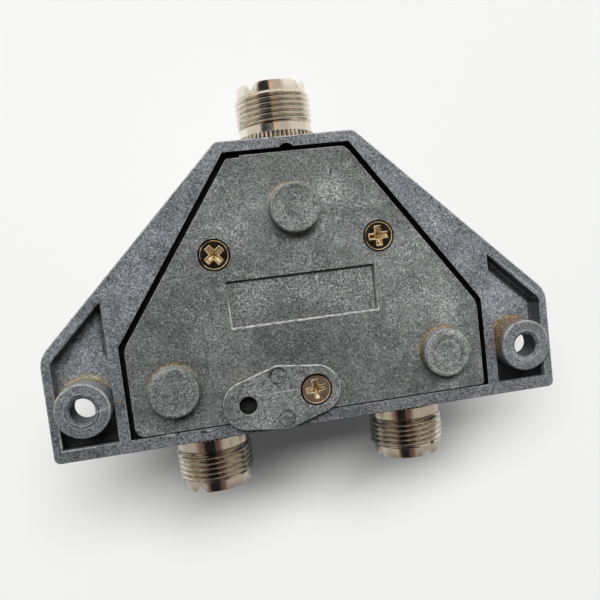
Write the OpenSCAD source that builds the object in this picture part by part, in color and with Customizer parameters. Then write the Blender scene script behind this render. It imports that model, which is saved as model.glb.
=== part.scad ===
// Two-way coaxial antenna switch in a die-cast case, drawn feet down.
// Z = 0 is the plane of the three feet, +Z leaves the knob side, +Y leaves the
// common connector. The knob shaft stands on the Z axis.

/* [Case] */
// Width of the case over its two mounting ears
case_w = 101; // [98:0.5:106]
// Height of the case from its lower to its upper edge
case_h = 56.5; // [55:0.5:60]
// Depth of the case from its open rim to its front face
case_d = 25.6; // [25:0.2:30]
// Length of the flat upper edge
top_w = 27; // [26:0.5:29]
// Height of the shoulder corners above the lower edge
shoulder_h = 20.2; // [19:0.2:22]
// Thickness of the wall beside the upper and sloping edges
side_wall = 2.1; // [1.8:0.1:2.4]
// Thickness of the wall along the lower edge
lower_wall = 2.4; // [2:0.1:2.8]
// Thickness of the front wall
front_wall = 3; // [2.6:0.1:3.4]
// Width of the inner ledge that the back plate lies on
ledge_w = 1.2; // [0.8:0.1:1.6]

/* [Opening of the case] */
// Width of the opening at its upper edge
opening_top_w = 24.6; // [24:0.2:25.2]
// Width of the opening below its shoulders
opening_w = 72.4; // [71:0.2:73.4]
// Height of the opening's shoulders above the lower edge of the case
opening_shoulder_h = 20.3; // [19.5:0.2:21.5]

/* [Mounting ears] */
// Thickness of the ears from the rim plane forward
ear_t = 5.3; // [5:0.1:6.2]
// Depth of the open pocket in each ear
pocket_d = 3.3; // [2.8:0.1:3.6]
// Width of the rim outside each pocket
ear_rim = 1.8; // [1.4:0.1:2.2]
// Distance between the two mounting holes
ear_pitch = 87.3; // [86.6:0.1:88]
// Height of the mounting holes above the lower edge
ear_hole_h = 9.9; // [9.4:0.1:10.6]
// Diameter of the mounting holes
ear_hole_d = 4.6; // [4.2:0.1:5]
// Diameter of the counterbore for a mounting screw's head
ear_head_d = 8.4; // [7.8:0.1:8.8]
// Length of the mounting hole behind the counterbore
ear_hole_l = 5.2; // [4.6:0.1:5.6]

/* [Back plate] */
// Thickness of the cast back plate
plate_t = 2.5; // [2.2:0.1:3]
// Width of the back plate below its shoulders
plate_w = 70.4; // [69:0.2:71.4]
// Height of the feet above the back plate
foot_h = 2.8; // [2.4:0.1:3.4]
// Diameter of the feet
foot_d = 9.6; // [9:0.1:10.4]
// Distance between the two lower feet
foot_pitch = 54; // [52:0.5:56]
// Height of the lower feet above the lower edge of the case
foot_low_h = 10.7; // [10:0.1:12]
// Height of the upper foot above the lower edge of the case
foot_top_h = 42.6; // [41.6:0.1:43.6]
// Width of the bare panel sunk into the plate
panel_w = 29.2; // [27:0.2:31]
// Height of the bare panel
panel_h = 9.1; // [8:0.1:10]
// Depth of the bare panel
panel_d = 0.6; // [0.4:0.1:0.9]

/* [Screws] */
// Thread diameter of the cover screws
screw_d = 3; // [2.5:0.1:3.2]
// Head diameter of the cover screws
screw_head_d = 6.2; // [5.6:0.1:6.6]
// Length of the cover screws
screw_l = 10; // [8:0.5:12]
// Distance between the two upper cover screws
screw_pitch = 32.5; // [31.5:0.1:33.5]
// Height of the upper cover screws above the knob shaft
screw_rise = 7.15; // [6.6:0.05:7.8]
// Height of the lower screw above the lower edge
screw_low_h = 7.2; // [6.8:0.1:7.4]

/* [Earth plate] */
// Thickness of the earth plate
earth_t = 1.8; // [1.4:0.1:2.2]
// Distance between the earth plate's two holes
earth_pitch = 13.5; // [12.5:0.1:14.5]
// Width of the earth plate across its rounded ends
earth_end_d = 9.8; // [9:0.1:10.4]
// Width of the earth plate across its middle corners
earth_mid_w = 12.9; // [12:0.1:13.4]
// Diameter of the earth plate's free hole
earth_hole_d = 3.5; // [3:0.1:4]
// Turn of the earth plate about its screw, in degrees
earth_turn = 5; // [0:0.5:6]

/* [Connectors] */
// Outer diameter of the connector thread, 5/8 inch
thread_d = 15.875; // [15.875]
// Length of the threaded stretch
thread_l = 6.35; // [5.8:0.05:7]
// Length of the plain collar behind the thread
collar_l = 2.3; // [1.8:0.1:2.8]
// Length of the knurled stretch at the wall
knurl_l = 1.5; // [1:0.1:2]
// Length of the reduced tip
tip_l = 2.1; // [1.8:0.1:2.6]
// Diameter of the reduced tip
tip_d = 14.4; // [14.2:0.1:14.8]
// Inner diameter of the connector mouth
mouth_d = 12.6; // [12.2:0.1:12.9]
// Depth of the connector mouth down to the insulator
mouth_l = 6; // [5:0.1:7]
// Inner diameter of the centre contact
socket_d = 3.96; // [3.8:0.02:4.1]
// Distance between the two lower connectors
port_pitch = 42.5; // [41.5:0.1:44]
// Distance of the connector axes from the middle of the depth, towards the rim
port_offset = 0.3; // [0:0.1:0.8]

/* [Rotor] */
// Diameter of the shaft
shaft_d = 6; // [5.6:0.1:6.4]
// Turn from one position to the other, in degrees
swing = 60; // [56:1:62]
// Reach of the blades from the shaft axis
blade_r = 16.5; // [15.5:0.1:16.8]
// Width of the blades
blade_w = 4.5; // [4:0.1:5]
// Length of the insulating hub between the two blades
hub_l = 7.2; // [6.6:0.1:7.4]
// Diameter of the detent plate
detent_d = 18; // [17:0.2:18.6]

/* [Knob] */
// Diameter of the knob skirt
skirt_d = 29; // [26:0.5:32]
// Height of the knob skirt
skirt_h = 4; // [3:0.2:5]
// Height of the whole knob
knob_h = 17; // [16:0.2:20]
// Width of the grip bar at its top
grip_w = 8.4; // [7.6:0.2:9]

/* [Hidden] */
// Names of all pieces

$fn = 64;
// Overrun of every cut
cut = 1;
// Gap between parts that are fitted to each other
fit = 0.05;
// Gap between parts that pass each other
pass_gap = 0.3;
// Overlap of shapes that form one casting
lap = 1;

// Places along Z
rim_z = foot_h;
ledge_z = rim_z + plate_t;
ear_z = rim_z + ear_t;
pocket_z = rim_z + pocket_d;
front_z = rim_z + case_d;
inner_z = front_z - front_wall;
axis_z = rim_z + case_d / 2 - port_offset;

// Places along Y
low_y = -case_h / 2;
high_y = case_h / 2;

// Outline of the case, counter-clockwise from its lower left corner
case_pts = six_corners(case_w, top_w, low_y, low_y + shoulder_h, high_y);
case_radii = [1.2, 1.2, 5, 1.8, 1.8, 5];

// Outline of the opening, which the back plate fills
opening_pts = six_corners(
  opening_w, opening_top_w, low_y + lower_wall, low_y + opening_shoulder_h, high_y - side_wall
);
cavity_pts = inset(opening_pts, all_edges(ledge_w));
cavity_r = 2;

// The deep box behind the front face
box_rib = 2.2;
box_pts = inset(opening_pts, [-lower_wall, -box_rib, -side_wall, -side_wall, -side_wall, -box_rib]);
box_r = 5;
box_draft = 0.7;
box_edge_r = 2.2;
box_arc_steps = 5;

// The back plate stands clear of the opening by these gaps
gap_low = 0.25;
gap_side = (opening_w - plate_w) / 2;
gap_slope = 1.15;
gap_top = 0.85;
plate_pts = inset(opening_pts, [gap_low, gap_side, gap_slope, gap_top, gap_slope, gap_side]);
plate_radii = [0.8, 0.8, 4, 2.2, 2.2, 4];
foot_taper_share = 0.053;
foot_draft = foot_h * foot_taper_share;
panel_top_h = 30;
// The plate's upper edge steps down beside one corner
edge_step_h = 0.4;
edge_step_in = 3.2;

// Half-round relief in the upper edge of the opening
relief_r = 1.7;
relief_rise = 0.7;

// Mounting ears
pocket_x = opening_w / 2 + box_rib;
ear_boss_lap = 0.02;
ear_boss_r = (case_w / 2 - ear_rim - pocket_x) / 2 + ear_boss_lap;
ear_chamfer = 0.5;

// Screws
post_r = 3.5;
screw_r = screw_d / 2;
head_r = screw_head_d / 2;
head_depth = 0.1;
hole_extra = 0.8;
cross_w = 1.1;
cross_l = 3.6;
cross_d = 1.3;
screw_places = [[-screw_pitch / 2, screw_rise], [screw_pitch / 2, screw_rise]];
low_screw = [0, low_y + screw_low_h];
web_t = 2.5;

// Earth plate
earth_mark_d = 3.3;
earth_mark_w = 0.25;
earth_mark_y = earth_mid_w / 3;
earth_blind_l = 1.4;

// Connectors: each has a foot point on the wall, a tilt and the turn of its notches
port_l = knurl_l + collar_l + thread_l + tip_l;
thread_r = thread_d / 2;
knurl_step = 0.05;
collar_step = 0.25;
shank_step = 0.55;
knurl_r = thread_r - knurl_step;
collar_r = thread_r - collar_step;
shank_r = thread_r - shank_step;
shank_l = 3;
notch_w = 2.6;
notch_d = 1.5;
notch_a = 45;
insulator_step = 1;
insulator_r = mouth_d / 2 - fit;
insulator_neck_r = 4.6;
socket_r = socket_d / 2;
contact_r = 2.75;
contact_rise = 0.8;
socket_depth = 9;
socket_slot_w = 0.4;
socket_slot_l = 5;
stub_r = 1.6;
stub_l = 8;
neck_l = 2;
tongue_t = 0.8;
tongue_l = 3;
ports = [
  [[0, high_y, axis_z], -90, 49],
  [[-port_pitch / 2, low_y, axis_z], 90, 73],
  [[port_pitch / 2, low_y, axis_z], 90, 30]
];
stub_end = stub_l + neck_l;

// Rotor stack: the hub stands about the connector axes, and the bearing boss comes down to the washer
shaft_r = shaft_d / 2;
blade_t = 1;
hub_r = 6.5;
hub_z = axis_z - hub_l / 2;
signal_z = hub_z - blade_t;
ground_z = hub_z + hub_l;
detent_t = 2;
detent_z = ground_z + blade_t;
detent_top_z = detent_z + detent_t;
washer_t = 0.4;
washer_r = 4.8;
bearing_r = 5;
bearing_z = detent_top_z + washer_t + 2 * fit;
bearing_l = front_z - bearing_z;
ring_r = 5.2;
ground_ring_r = 6.4;
shaft_seat = 4.2;
shaft_low_z = ground_z - shaft_seat;
flat_depth = 0.6;
pin_r = 1;
pin_z = ground_z - shaft_seat / 2;
blade_screw_r = 1.5;
blade_screw_l = 1.8;
blade_head_r = 2.75;
blade_head_h = 1.4;

// The signal blade points at output 1 at rest, and the blades turn by the swing
blade_a = -90 - swing / 2;
lug_w = 4;
lug_r = 12;
stop_r = 1.5;
stop_at_r = 11;
stop_a = asin((lug_w / 2 + stop_r + pass_gap / 2) / stop_at_r);

// Detent spring: a bowed leaf under the front wall, whose nose rests in a hole of the detent plate
nose_r = 1.2;
nose_at_r = 6.9;
nose_sink = 0.7;
leaf_t = 0.35;
leaf_w = 2.6;
leaf_gap = 0.35;
leaf_half = 9;
leaf_tab_l = 3;
leaf_steps = 12;
leaf_sag = inner_z - leaf_t - detent_top_z - leaf_gap;
peg_r = 0.8;
peg_head_r = 1.2;
peg_head_t = 0.4;
peg_x = leaf_half + leaf_tab_l / 2;

// Output clips
clip_gap = 0.08;
clip_t = 0.4;
clip_lug_gap = 0.9;
clip_in_r = lug_r + clip_lug_gap;
clip_w = 5.6;
clip_back_gap = 0.4;
strip_w = 3;

// Common spring
spring_t = 0.5;
spring_w = 4;
spring_gap = 0.1;
spring_z = signal_z - blade_head_h - spring_gap - spring_t;
spring_bend_y = 11;

// Retaining ring in a groove in front of the wall
ring_t = 0.6;
ring_gap = 0.1;
ring_z = front_z + ring_gap;
groove_depth = 0.5;
groove_r = shaft_r - groove_depth;
ring_out_r = 5.2;
ring_mouth_w = 4;

// Knob
knob_gap = 0.7;
knob_z = front_z + knob_gap;
skirt_edge = 0.8;
grip_base_w = 12;
grip_round = 2;
grip_side_r = 2.6;
insert_r = 4.2;
insert_l = 8.5;
recess_h = 2;
recess_gap = 0.6;
insert_z = knob_z + recess_h;
recess_r = ring_out_r + recess_gap;
knob_shaft_l = 7.5;
// The shaft's outer flat faces the set screw
knob_turn = blade_a;
set_screw_r = 1.5;
set_screw_l = 3;
set_screw_z = insert_z + insert_l / 2;
pointer_w = 1.2;
pointer_t = 0.5;
pointer_l = 8;
pointer_end = skirt_d / 2 - skirt_edge - grip_side_r - grip_round;

function six_corners(w, w_top, y_low, y_mid, y_top) = [
  [-w / 2, y_low], [w / 2, y_low], [w / 2, y_mid],
  [w_top / 2, y_top], [-w_top / 2, y_top], [-w / 2, y_mid]
];
function all_edges(d) = [for (i = [0:5]) d];
function unit(v) = v / norm(v);
function before(p, i) = p[(i + len(p) - 1) % len(p)];
function after(p, i) = p[(i + 1) % len(p)];
function inward(a, b) = unit([a[1] - b[1], b[0] - a[0]]);

// Corner i moved so that the edges on both sides of it lie d inwards
function inset(p, d) = [
  for (i = [0:len(p) - 1])
    let (
      n = inward(before(p, i), p[i]),
      m = inward(p[i], after(p, i)),
      c = n * m,
      dn = d[(i + len(p) - 1) % len(p)],
      dm = d[i]
    )
    p[i] + n * (dn - c * dm) / (1 - c * c) + m * (dm - c * dn) / (1 - c * c)
];
function corner_angle(p, i) = acos(unit(before(p, i) - p[i]) * unit(after(p, i) - p[i]));
function arc_start(p, i, r) = r / tan(corner_angle(p, i) / 2);
function arc_centre(p, i, r) =
  p[i] + unit(unit(before(p, i) - p[i]) + unit(after(p, i) - p[i])) * r / sin(corner_angle(p, i) / 2);

// Outline with true arcs at its corners
module rounded_outline(p, r) {
  polygon([
    for (i = [0:len(p) - 1])
      for (q = [before(p, i), after(p, i)]) p[i] + unit(q - p[i]) * arc_start(p, i, r[i])
  ]);
  for (i = [0:len(p) - 1]) translate(arc_centre(p, i, r[i])) circle(r[i]);
}

module lift(z, h) {
  translate([0, 0, z]) linear_extrude(h) children();
}

module post(p, z, r, h) {
  translate([p[0], p[1], z]) cylinder(r = r, h = h);
}

module both_sides() {
  for (side = [0, 1]) mirror([side, 0, 0]) children();
}

// Section of a round bar with one flat
module d_section(r) {
  difference() {
    circle(r);
    translate([-r, r - flat_depth]) square([2 * r, r]);
  }
}

// What the flat takes away from the shaft
module shaft_flat() {
  translate([-shaft_r - cut, shaft_r - flat_depth]) square([2 * shaft_r + 2 * cut, shaft_r]);
}

// Places a connector piece whose local Z leaves the wall
module at_port(i) {
  translate(ports[i][0]) rotate([ports[i][1], 0, 0]) children();
}

// The same, turned so that a notch comes to the port's own angle
module at_notches(i) {
  at_port(i) rotate(ports[i][2] - notch_a) children();
}

// Housing
module front_box() {
  h = front_z - ear_z + lap;
  r_top = box_r - box_draft;
  hull()
    for (i = [0:5])
      translate(concat(arc_centre(box_pts, i, box_r), ear_z - lap))
        rotate_extrude($fn = 32)
          polygon(concat(
            [[0, 0], [box_r, 0], [box_r, lap]],
            [for (k = [0:box_arc_steps])
              [r_top - box_edge_r, h - box_edge_r]
                + box_edge_r * [cos(90 * k / box_arc_steps), sin(90 * k / box_arc_steps)]],
            [[0, h]]
          ));
}

module ear_pocket() {
  intersection() {
    polygon(inset(case_pts, [lower_wall, ear_rim, side_wall, side_wall, side_wall, ear_rim]));
    translate([pocket_x, low_y]) square([case_w, case_h]);
  }
}

module case_walls() {
  difference() {
    union() {
      lift(rim_z, ear_t) rounded_outline(case_pts, case_radii);
      front_box();
    }
    lift(rim_z - cut, plate_t + cut) polygon(opening_pts);
    lift(ledge_z - cut, inner_z - ledge_z + cut) rounded_outline(cavity_pts, all_edges(cavity_r));
    both_sides() lift(rim_z - cut, pocket_d + cut) ear_pocket();
    translate([0, high_y - side_wall + relief_rise - relief_r, rim_z - cut])
      cylinder(r = relief_r, h = plate_t + cut);
  }
}

module screw_posts() {
  for (p = screw_places) post(p, ledge_z, post_r, inner_z - ledge_z + lap);
  post(low_screw, ledge_z, post_r, inner_z - ledge_z + lap);
  translate([-web_t / 2, low_y + lower_wall, ledge_z])
    cube([web_t, screw_low_h - lower_wall, inner_z - ledge_z + lap]);
}

module stop_posts() {
  for (a = [blade_a - stop_a, blade_a + swing + stop_a])
    rotate(a) post([stop_at_r, 0], detent_z, stop_r, inner_z - detent_z + lap);
}

// Cast pegs whose heads are peened over the leaf's tabs
module leaf_pegs() {
  both_sides() {
    post([peg_x, nose_at_r], inner_z - leaf_t - fit - peg_head_t, peg_head_r, peg_head_t);
    post([peg_x, nose_at_r], inner_z - leaf_t - fit - peg_head_t, peg_r, leaf_t + fit + peg_head_t + lap);
  }
}

module housing() {
  color("slategray")
    difference() {
      union() {
        case_walls();
        screw_posts();
        stop_posts();
        leaf_pegs();
        post([0, 0], bearing_z, bearing_r, inner_z - bearing_z + lap);
        both_sides() post([ear_pitch / 2, low_y + ear_hole_h], 0, ear_boss_r, pocket_z + lap);
      }
      post([0, 0], bearing_z - cut, shaft_r + fit, bearing_l + 2 * cut);
      for (p = concat(screw_places, [low_screw]))
        post(p, ledge_z - cut, screw_r + fit, screw_l - plate_t + hole_extra + cut);
      both_sides()
        translate([ear_pitch / 2, low_y + ear_hole_h, 0]) {
          translate([0, 0, -cut]) cylinder(d = ear_hole_d, h = ear_z + 2 * cut);
          translate([0, 0, ear_hole_l]) cylinder(d = ear_head_d, h = ear_z - ear_hole_l + cut);
          translate([0, 0, -fit])
            cylinder(d1 = ear_hole_d + 2 * (ear_chamfer + fit), d2 = ear_hole_d, h = ear_chamfer + fit);
        }
      for (i = [0:2])
        at_port(i) translate([0, 0, -shank_l - lap]) cylinder(r = shank_r + fit, h = shank_l + lap + cut);
    }
}

// Back plate with its three cast feet
module back_plate() {
  color("dimgray")
    difference() {
      union() {
        lift(rim_z, plate_t) rounded_outline(plate_pts, plate_radii);
        for (p = [[0, foot_top_h], [-foot_pitch / 2, foot_low_h], [foot_pitch / 2, foot_low_h]])
          translate([p[0], low_y + p[1], 0])
            cylinder(d1 = foot_d, d2 = foot_d + 2 * foot_draft, h = foot_h + lap);
      }
      translate([-panel_w / 2, low_y + panel_top_h - panel_h, rim_z - cut])
        cube([panel_w, panel_h, panel_d + cut]);
      translate([opening_top_w / 2 - edge_step_in, high_y - side_wall - gap_top - edge_step_h, rim_z - cut])
        cube([top_w, edge_step_h + cut, plate_t + 2 * cut]);
      for (p = screw_places) {
        post(p, rim_z - cut, screw_r + pass_gap / 2, plate_t + 2 * cut);
        translate([p[0], p[1], rim_z]) countersink();
      }
      post(low_screw, rim_z - cut, screw_r + pass_gap / 2, plate_t + 2 * cut);
      at_earth_hole() translate([0, 0, rim_z - cut]) cylinder(d = earth_hole_d, h = earth_blind_l + cut);
    }
}

// Screws: countersunk, with their head down at z = 0
module countersink() {
  depth = head_r - screw_r;
  translate([0, 0, head_depth]) cylinder(r1 = head_r + fit, r2 = screw_r + fit, h = depth);
  translate([0, 0, -cut]) cylinder(r = head_r + fit, h = cut + head_depth);
}

module cross_recess() {
  for (a = [0, 90])
    rotate(a) translate([-cross_l / 2, -cross_w / 2, -cut]) cube([cross_l, cross_w, cross_d + cut]);
}

module flat_screw(length) {
  difference() {
    union() {
      cylinder(r1 = head_r, r2 = screw_r, h = head_r - screw_r);
      cylinder(r = screw_r, h = length);
    }
    cross_recess();
  }
}

module cover_screws() {
  color("darkgoldenrod")
    for (p = screw_places) translate([p[0], p[1], rim_z + head_depth]) flat_screw(screw_l);
}

module earth_screw() {
  color("peru")
    translate([low_screw[0], low_screw[1], rim_z - earth_t + head_depth]) flat_screw(screw_l);
}

// Earth plate: two round ends joined over a wider middle
module at_earth_screw() {
  translate([low_screw[0], low_screw[1], 0]) rotate(-earth_turn) children();
}

module at_earth_hole() {
  at_earth_screw() translate([earth_pitch, 0, 0]) children();
}

// Where the line from corner p touches the circle of radius r about c
function touch(p, c, r, side) =
  let (d = norm(p - c), a = side * acos(r / d), u = (p - c) / d)
  c + r * [u[0] * cos(a) - u[1] * sin(a), u[0] * sin(a) + u[1] * cos(a)];

module earth_outline() {
  r = earth_end_d / 2;
  r_in = r - fit;
  ends = [[0, 0], [earth_pitch, 0]];
  up = [earth_pitch / 2, earth_mid_w / 2];
  down = [earth_pitch / 2, -earth_mid_w / 2];
  for (c = ends) translate(c) circle(r);
  polygon([
    touch(up, ends[0], r_in, 1), touch(down, ends[0], r_in, -1), down,
    touch(down, ends[1], r_in, 1), touch(up, ends[1], r_in, -1), up
  ]);
}

module earth_plate() {
  color("gray")
    difference() {
      at_earth_screw()
        difference() {
          lift(rim_z - earth_t, earth_t) earth_outline();
          translate([earth_pitch, 0, rim_z - earth_t - cut])
            cylinder(d = earth_hole_d, h = earth_t + 2 * cut);
          for (s = [-1, 1])
            translate([earth_pitch / 2, s * earth_mark_y, rim_z - earth_t - cut])
              difference() {
                cylinder(d = earth_mark_d, h = cut + earth_mark_w);
                cylinder(d = earth_mark_d - 2 * earth_mark_w, h = cut + earth_mark_w);
              }
        }
      post(low_screw, rim_z - earth_t - cut, screw_r + pass_gap / 2, earth_t + 2 * cut);
      translate([low_screw[0], low_screw[1], rim_z - earth_t]) countersink();
    }
}

// Connectors
module connector_shell(i) {
  thread_z = knurl_l + collar_l;
  tip_z = thread_z + thread_l;
  color("tan")
    at_notches(i)
      difference() {
        union() {
          translate([0, 0, -shank_l]) cylinder(r = shank_r, h = shank_l + lap);
          cylinder(r = knurl_r, h = knurl_l);
          cylinder(r = collar_r, h = thread_z + lap);
          translate([0, 0, thread_z]) cylinder(r = thread_r, h = thread_l);
          translate([0, 0, thread_z]) cylinder(d = tip_d, h = thread_l + tip_l);
        }
        translate([0, 0, insulator_step]) cylinder(d = mouth_d, h = port_l);
        translate([0, 0, -shank_l - cut])
          cylinder(r = insulator_neck_r + fit, h = shank_l + insulator_step + 2 * cut);
        for (k = [0:3])
          rotate(notch_a + 90 * k)
            translate([0, 0, port_l])
              rotate([90, 0, 90])
                linear_extrude(thread_r + cut)
                  polygon([
                    [-notch_w / 2, 0], [0, -notch_d], [notch_w / 2, 0], [notch_w / 2, cut], [-notch_w / 2, cut]
                  ]);
      }
}

module insulator(i) {
  color("white")
    at_port(i)
      difference() {
        union() {
          translate([0, 0, insulator_step + fit])
            cylinder(r = insulator_r, h = port_l - mouth_l - insulator_step - fit);
          translate([0, 0, -shank_l]) cylinder(r = insulator_neck_r, h = shank_l + insulator_step + lap);
        }
        translate([0, 0, -shank_l - cut]) cylinder(r = contact_r + fit, h = port_l);
      }
}

module centre_contact(i) {
  top = port_l - mouth_l + contact_rise;
  color("gold")
    at_port(i)
      difference() {
        union() {
          translate([0, 0, -neck_l - shank_l / 2]) cylinder(r = contact_r, h = neck_l + shank_l / 2 + top);
          translate([0, 0, -stub_end]) cylinder(r = stub_r, h = stub_end);
        }
        translate([0, 0, top - socket_depth]) cylinder(r = socket_r, h = socket_depth + cut);
        for (k = [0, 90])
          rotate(k)
            translate([-contact_r - cut, -socket_slot_w / 2, top - socket_slot_l])
              cube([2 * contact_r + 2 * cut, socket_slot_w, socket_slot_l + cut]);
        translate([-stub_r - cut, -tongue_t / 2 - fit, -stub_end - cut])
          cube([2 * stub_r + 2 * cut, tongue_t + 2 * fit, tongue_l + cut]);
      }
}

// Contacts inside the case
module bar(p, q, w) {
  translate(p) rotate(atan2(q[1] - p[1], q[0] - p[0])) translate([0, -w / 2]) square([norm(q - p), w]);
}

module common_spring() {
  stub_y = high_y - stub_end;
  tongue_z = axis_z - tongue_t / 2;
  color("goldenrod") {
    translate([-spring_w / 2, spring_bend_y, tongue_z])
      cube([spring_w, stub_y + fit - spring_bend_y, tongue_t]);
    translate([-stub_r, stub_y, tongue_z]) cube([2 * stub_r, tongue_l - fit, tongue_t]);
    translate([-spring_w / 2, spring_bend_y, spring_z])
      cube([spring_w, spring_t, tongue_z + tongue_t - spring_z]);
    translate([-spring_w / 2, 0, spring_z]) cube([spring_w, spring_bend_y + spring_t, spring_t]);
    translate([0, 0, spring_z]) cylinder(d = spring_w, h = spring_t);
  }
}

module clip_leaves(z, r_in, r_back) {
  for (leaf_low = [z - clip_gap - clip_t, z + blade_t + clip_gap])
    lift(leaf_low, clip_t) translate([r_in, -clip_w / 2]) square([r_back - r_in, clip_w]);
}

module output_clip(side) {
  r_back = blade_r + clip_back_gap;
  a = -90 + side * swing / 2;
  z_low = signal_z - clip_gap - clip_t;
  z_high = ground_z + blade_t + clip_gap + clip_t;
  foot = [side * port_pitch / 2, low_y + stub_end];
  mid = (r_back + clip_t / 2) * [cos(a), sin(a)];
  color("goldenrod") {
    rotate(a) {
      lift(z_low, z_high - z_low) translate([r_back, -clip_w / 2]) square([clip_t, clip_w]);
      clip_leaves(signal_z, clip_in_r, r_back + clip_t);
      clip_leaves(ground_z, clip_in_r, r_back + clip_t);
    }
    lift(axis_z - tongue_t / 2, tongue_t) {
      bar(mid, foot, strip_w);
      translate(foot) circle(d = strip_w);
      translate([foot[0] - stub_r, foot[1] - tongue_l + fit]) square([2 * stub_r, tongue_l - fit]);
    }
  }
}

// Shaft and what turns with it
module shaft() {
  shaft_top = insert_z + knob_shaft_l;
  color("lightgray")
    difference() {
      rotate_extrude()
        polygon([
          [0, shaft_low_z], [shaft_r, shaft_low_z], [shaft_r, ring_z], [groove_r, ring_z],
          [groove_r, ring_z + ring_t], [shaft_r, ring_z + ring_t], [shaft_r, shaft_top], [0, shaft_top]
        ]);
      lift(shaft_low_z - cut, detent_top_z - shaft_low_z + cut) shaft_flat();
      lift(insert_z, knob_shaft_l + cut) rotate(knob_turn) shaft_flat();
      translate([0, 0, pin_z]) rotate([0, 90, 0]) cylinder(r = pin_r, h = 2 * hub_r, center = true);
    }
}

module retaining_ring() {
  color("silver")
    lift(ring_z, ring_t)
      difference() {
        circle(ring_out_r);
        circle(groove_r + fit);
        translate([-ring_mouth_w / 2, -ring_out_r - cut]) square([ring_mouth_w, ring_out_r + cut]);
      }
}

module thrust_washer() {
  color("wheat")
    lift(detent_top_z + fit, washer_t)
      difference() {
        circle(washer_r);
        circle(shaft_r + fit);
      }
}

module detent_plate() {
  color("silver")
    lift(detent_z, detent_t)
      difference() {
        union() {
          circle(d = detent_d);
          rotate(blade_a) translate([0, -lug_w / 2]) square([lug_r, lug_w]);
        }
        d_section(shaft_r + fit);
        for (a = [90, 90 - swing]) rotate(a) translate([nose_at_r, 0]) circle(nose_r + 2 * fit);
      }
}

// Height of the bowed leaf's upper face at the share u of its half length
function leaf_z(u) = inner_z - leaf_sag * pow(cos(90 * u), 2);

module leaf_side() {
  xs = [for (k = [-leaf_steps:leaf_steps]) k / leaf_steps];
  back = [for (k = [leaf_steps:-1:-leaf_steps]) k / leaf_steps];
  polygon(concat(
    [[-leaf_half - leaf_tab_l, inner_z]],
    [for (u = xs) [u * leaf_half, leaf_z(u)]],
    [[leaf_half + leaf_tab_l, inner_z], [leaf_half + leaf_tab_l, inner_z - leaf_t]],
    [for (u = back) [u * leaf_half, leaf_z(u) - leaf_t]],
    [[-leaf_half - leaf_tab_l, inner_z - leaf_t]]
  ));
}

module detent_spring() {
  nose_h = leaf_gap + nose_sink;
  color("lightsteelblue")
    difference() {
      union() {
        translate([0, nose_at_r + leaf_w / 2, 0]) rotate([90, 0, 0]) linear_extrude(leaf_w) leaf_side();
        translate([0, nose_at_r, detent_top_z - nose_sink]) {
          cylinder(r1 = nose_r / 2, r2 = nose_r, h = nose_h / 2);
          translate([0, 0, nose_h / 2]) cylinder(r = nose_r, h = nose_h / 2 + leaf_t / 2);
        }
      }
      both_sides() post([peg_x, nose_at_r], inner_z - leaf_t - cut, peg_r + fit, leaf_t + 2 * cut);
    }
}

module blade(r, w) {
  translate([0, -w / 2]) square([r - w / 2, w]);
  translate([r - w / 2, 0]) circle(d = w);
}

module ground_wiper() {
  color("khaki")
    lift(ground_z, blade_t)
      difference() {
        union() {
          circle(ground_ring_r);
          for (a = [blade_a - swing, blade_a + swing]) rotate(a) blade(blade_r, blade_w);
        }
        d_section(shaft_r + fit);
      }
}

module rotor_hub() {
  color("ivory")
    difference() {
      translate([0, 0, hub_z]) cylinder(r = hub_r, h = hub_l);
      lift(shaft_low_z, shaft_seat + cut) d_section(shaft_r + fit);
      translate([0, 0, hub_z - cut]) cylinder(r = blade_screw_r + fit, h = blade_screw_l + fit + cut);
      translate([0, 0, pin_z]) rotate([0, 90, 0]) cylinder(r = pin_r, h = 2 * hub_r + cut, center = true);
    }
}

module hub_pin() {
  color("gray")
    translate([0, 0, pin_z]) rotate([0, 90, 0]) cylinder(r = pin_r - fit / 2, h = 2 * hub_r, center = true);
}

module signal_blade() {
  color("khaki")
    lift(signal_z, blade_t)
      difference() {
        union() {
          circle(ring_r);
          rotate(blade_a) blade(blade_r, blade_w);
        }
        circle(blade_screw_r + fit);
      }
}

module blade_screw() {
  color("gold") {
    translate([0, 0, signal_z - blade_head_h]) cylinder(r = blade_head_r, h = blade_head_h);
    translate([0, 0, signal_z - fit]) cylinder(r = blade_screw_r, h = blade_t + blade_screw_l + fit);
  }
}

// Knob: a round skirt with a tapered grip bar that points at the chosen output
module grip_bar() {
  base_z = knob_z + skirt_h;
  top_z = knob_z + knob_h - grip_round;
  reach = skirt_d / 2 - skirt_edge - grip_side_r;
  rotate(blade_a)
    hull() {
      for (x = [-reach, reach])
        for (y = [-1, 1]) {
          translate([x, y * (grip_base_w / 2 - grip_side_r), base_z - lap])
            cylinder(r = grip_side_r, h = lap, $fn = 32);
          translate([x * (1 - grip_round / reach), y * (grip_w / 2 - grip_round), top_z])
            sphere(r = grip_round, $fn = 32);
        }
    }
}

module knob_body() {
  translate([0, 0, knob_z]) cylinder(d = skirt_d, h = skirt_h - skirt_edge);
  translate([0, 0, knob_z + skirt_h - skirt_edge])
    cylinder(d1 = skirt_d, d2 = skirt_d - 2 * skirt_edge, h = skirt_edge);
  grip_bar();
}

module at_set_screw() {
  translate([0, 0, set_screw_z]) rotate([0, 90, blade_a + 90]) children();
}

module knob() {
  color("#222222")
    difference() {
      knob_body();
      translate([0, 0, knob_z - cut]) cylinder(r = recess_r, h = insert_z - knob_z + cut);
      translate([0, 0, insert_z - cut]) cylinder(r = insert_r, h = insert_l + cut);
      at_set_screw() cylinder(r = set_screw_r + pass_gap / 2, h = skirt_d);
      rotate(blade_a)
        translate([pointer_end - pointer_l, -pointer_w / 2, knob_z + knob_h - pointer_t])
          cube([pointer_l, pointer_w, pointer_t + cut]);
    }
}

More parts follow.
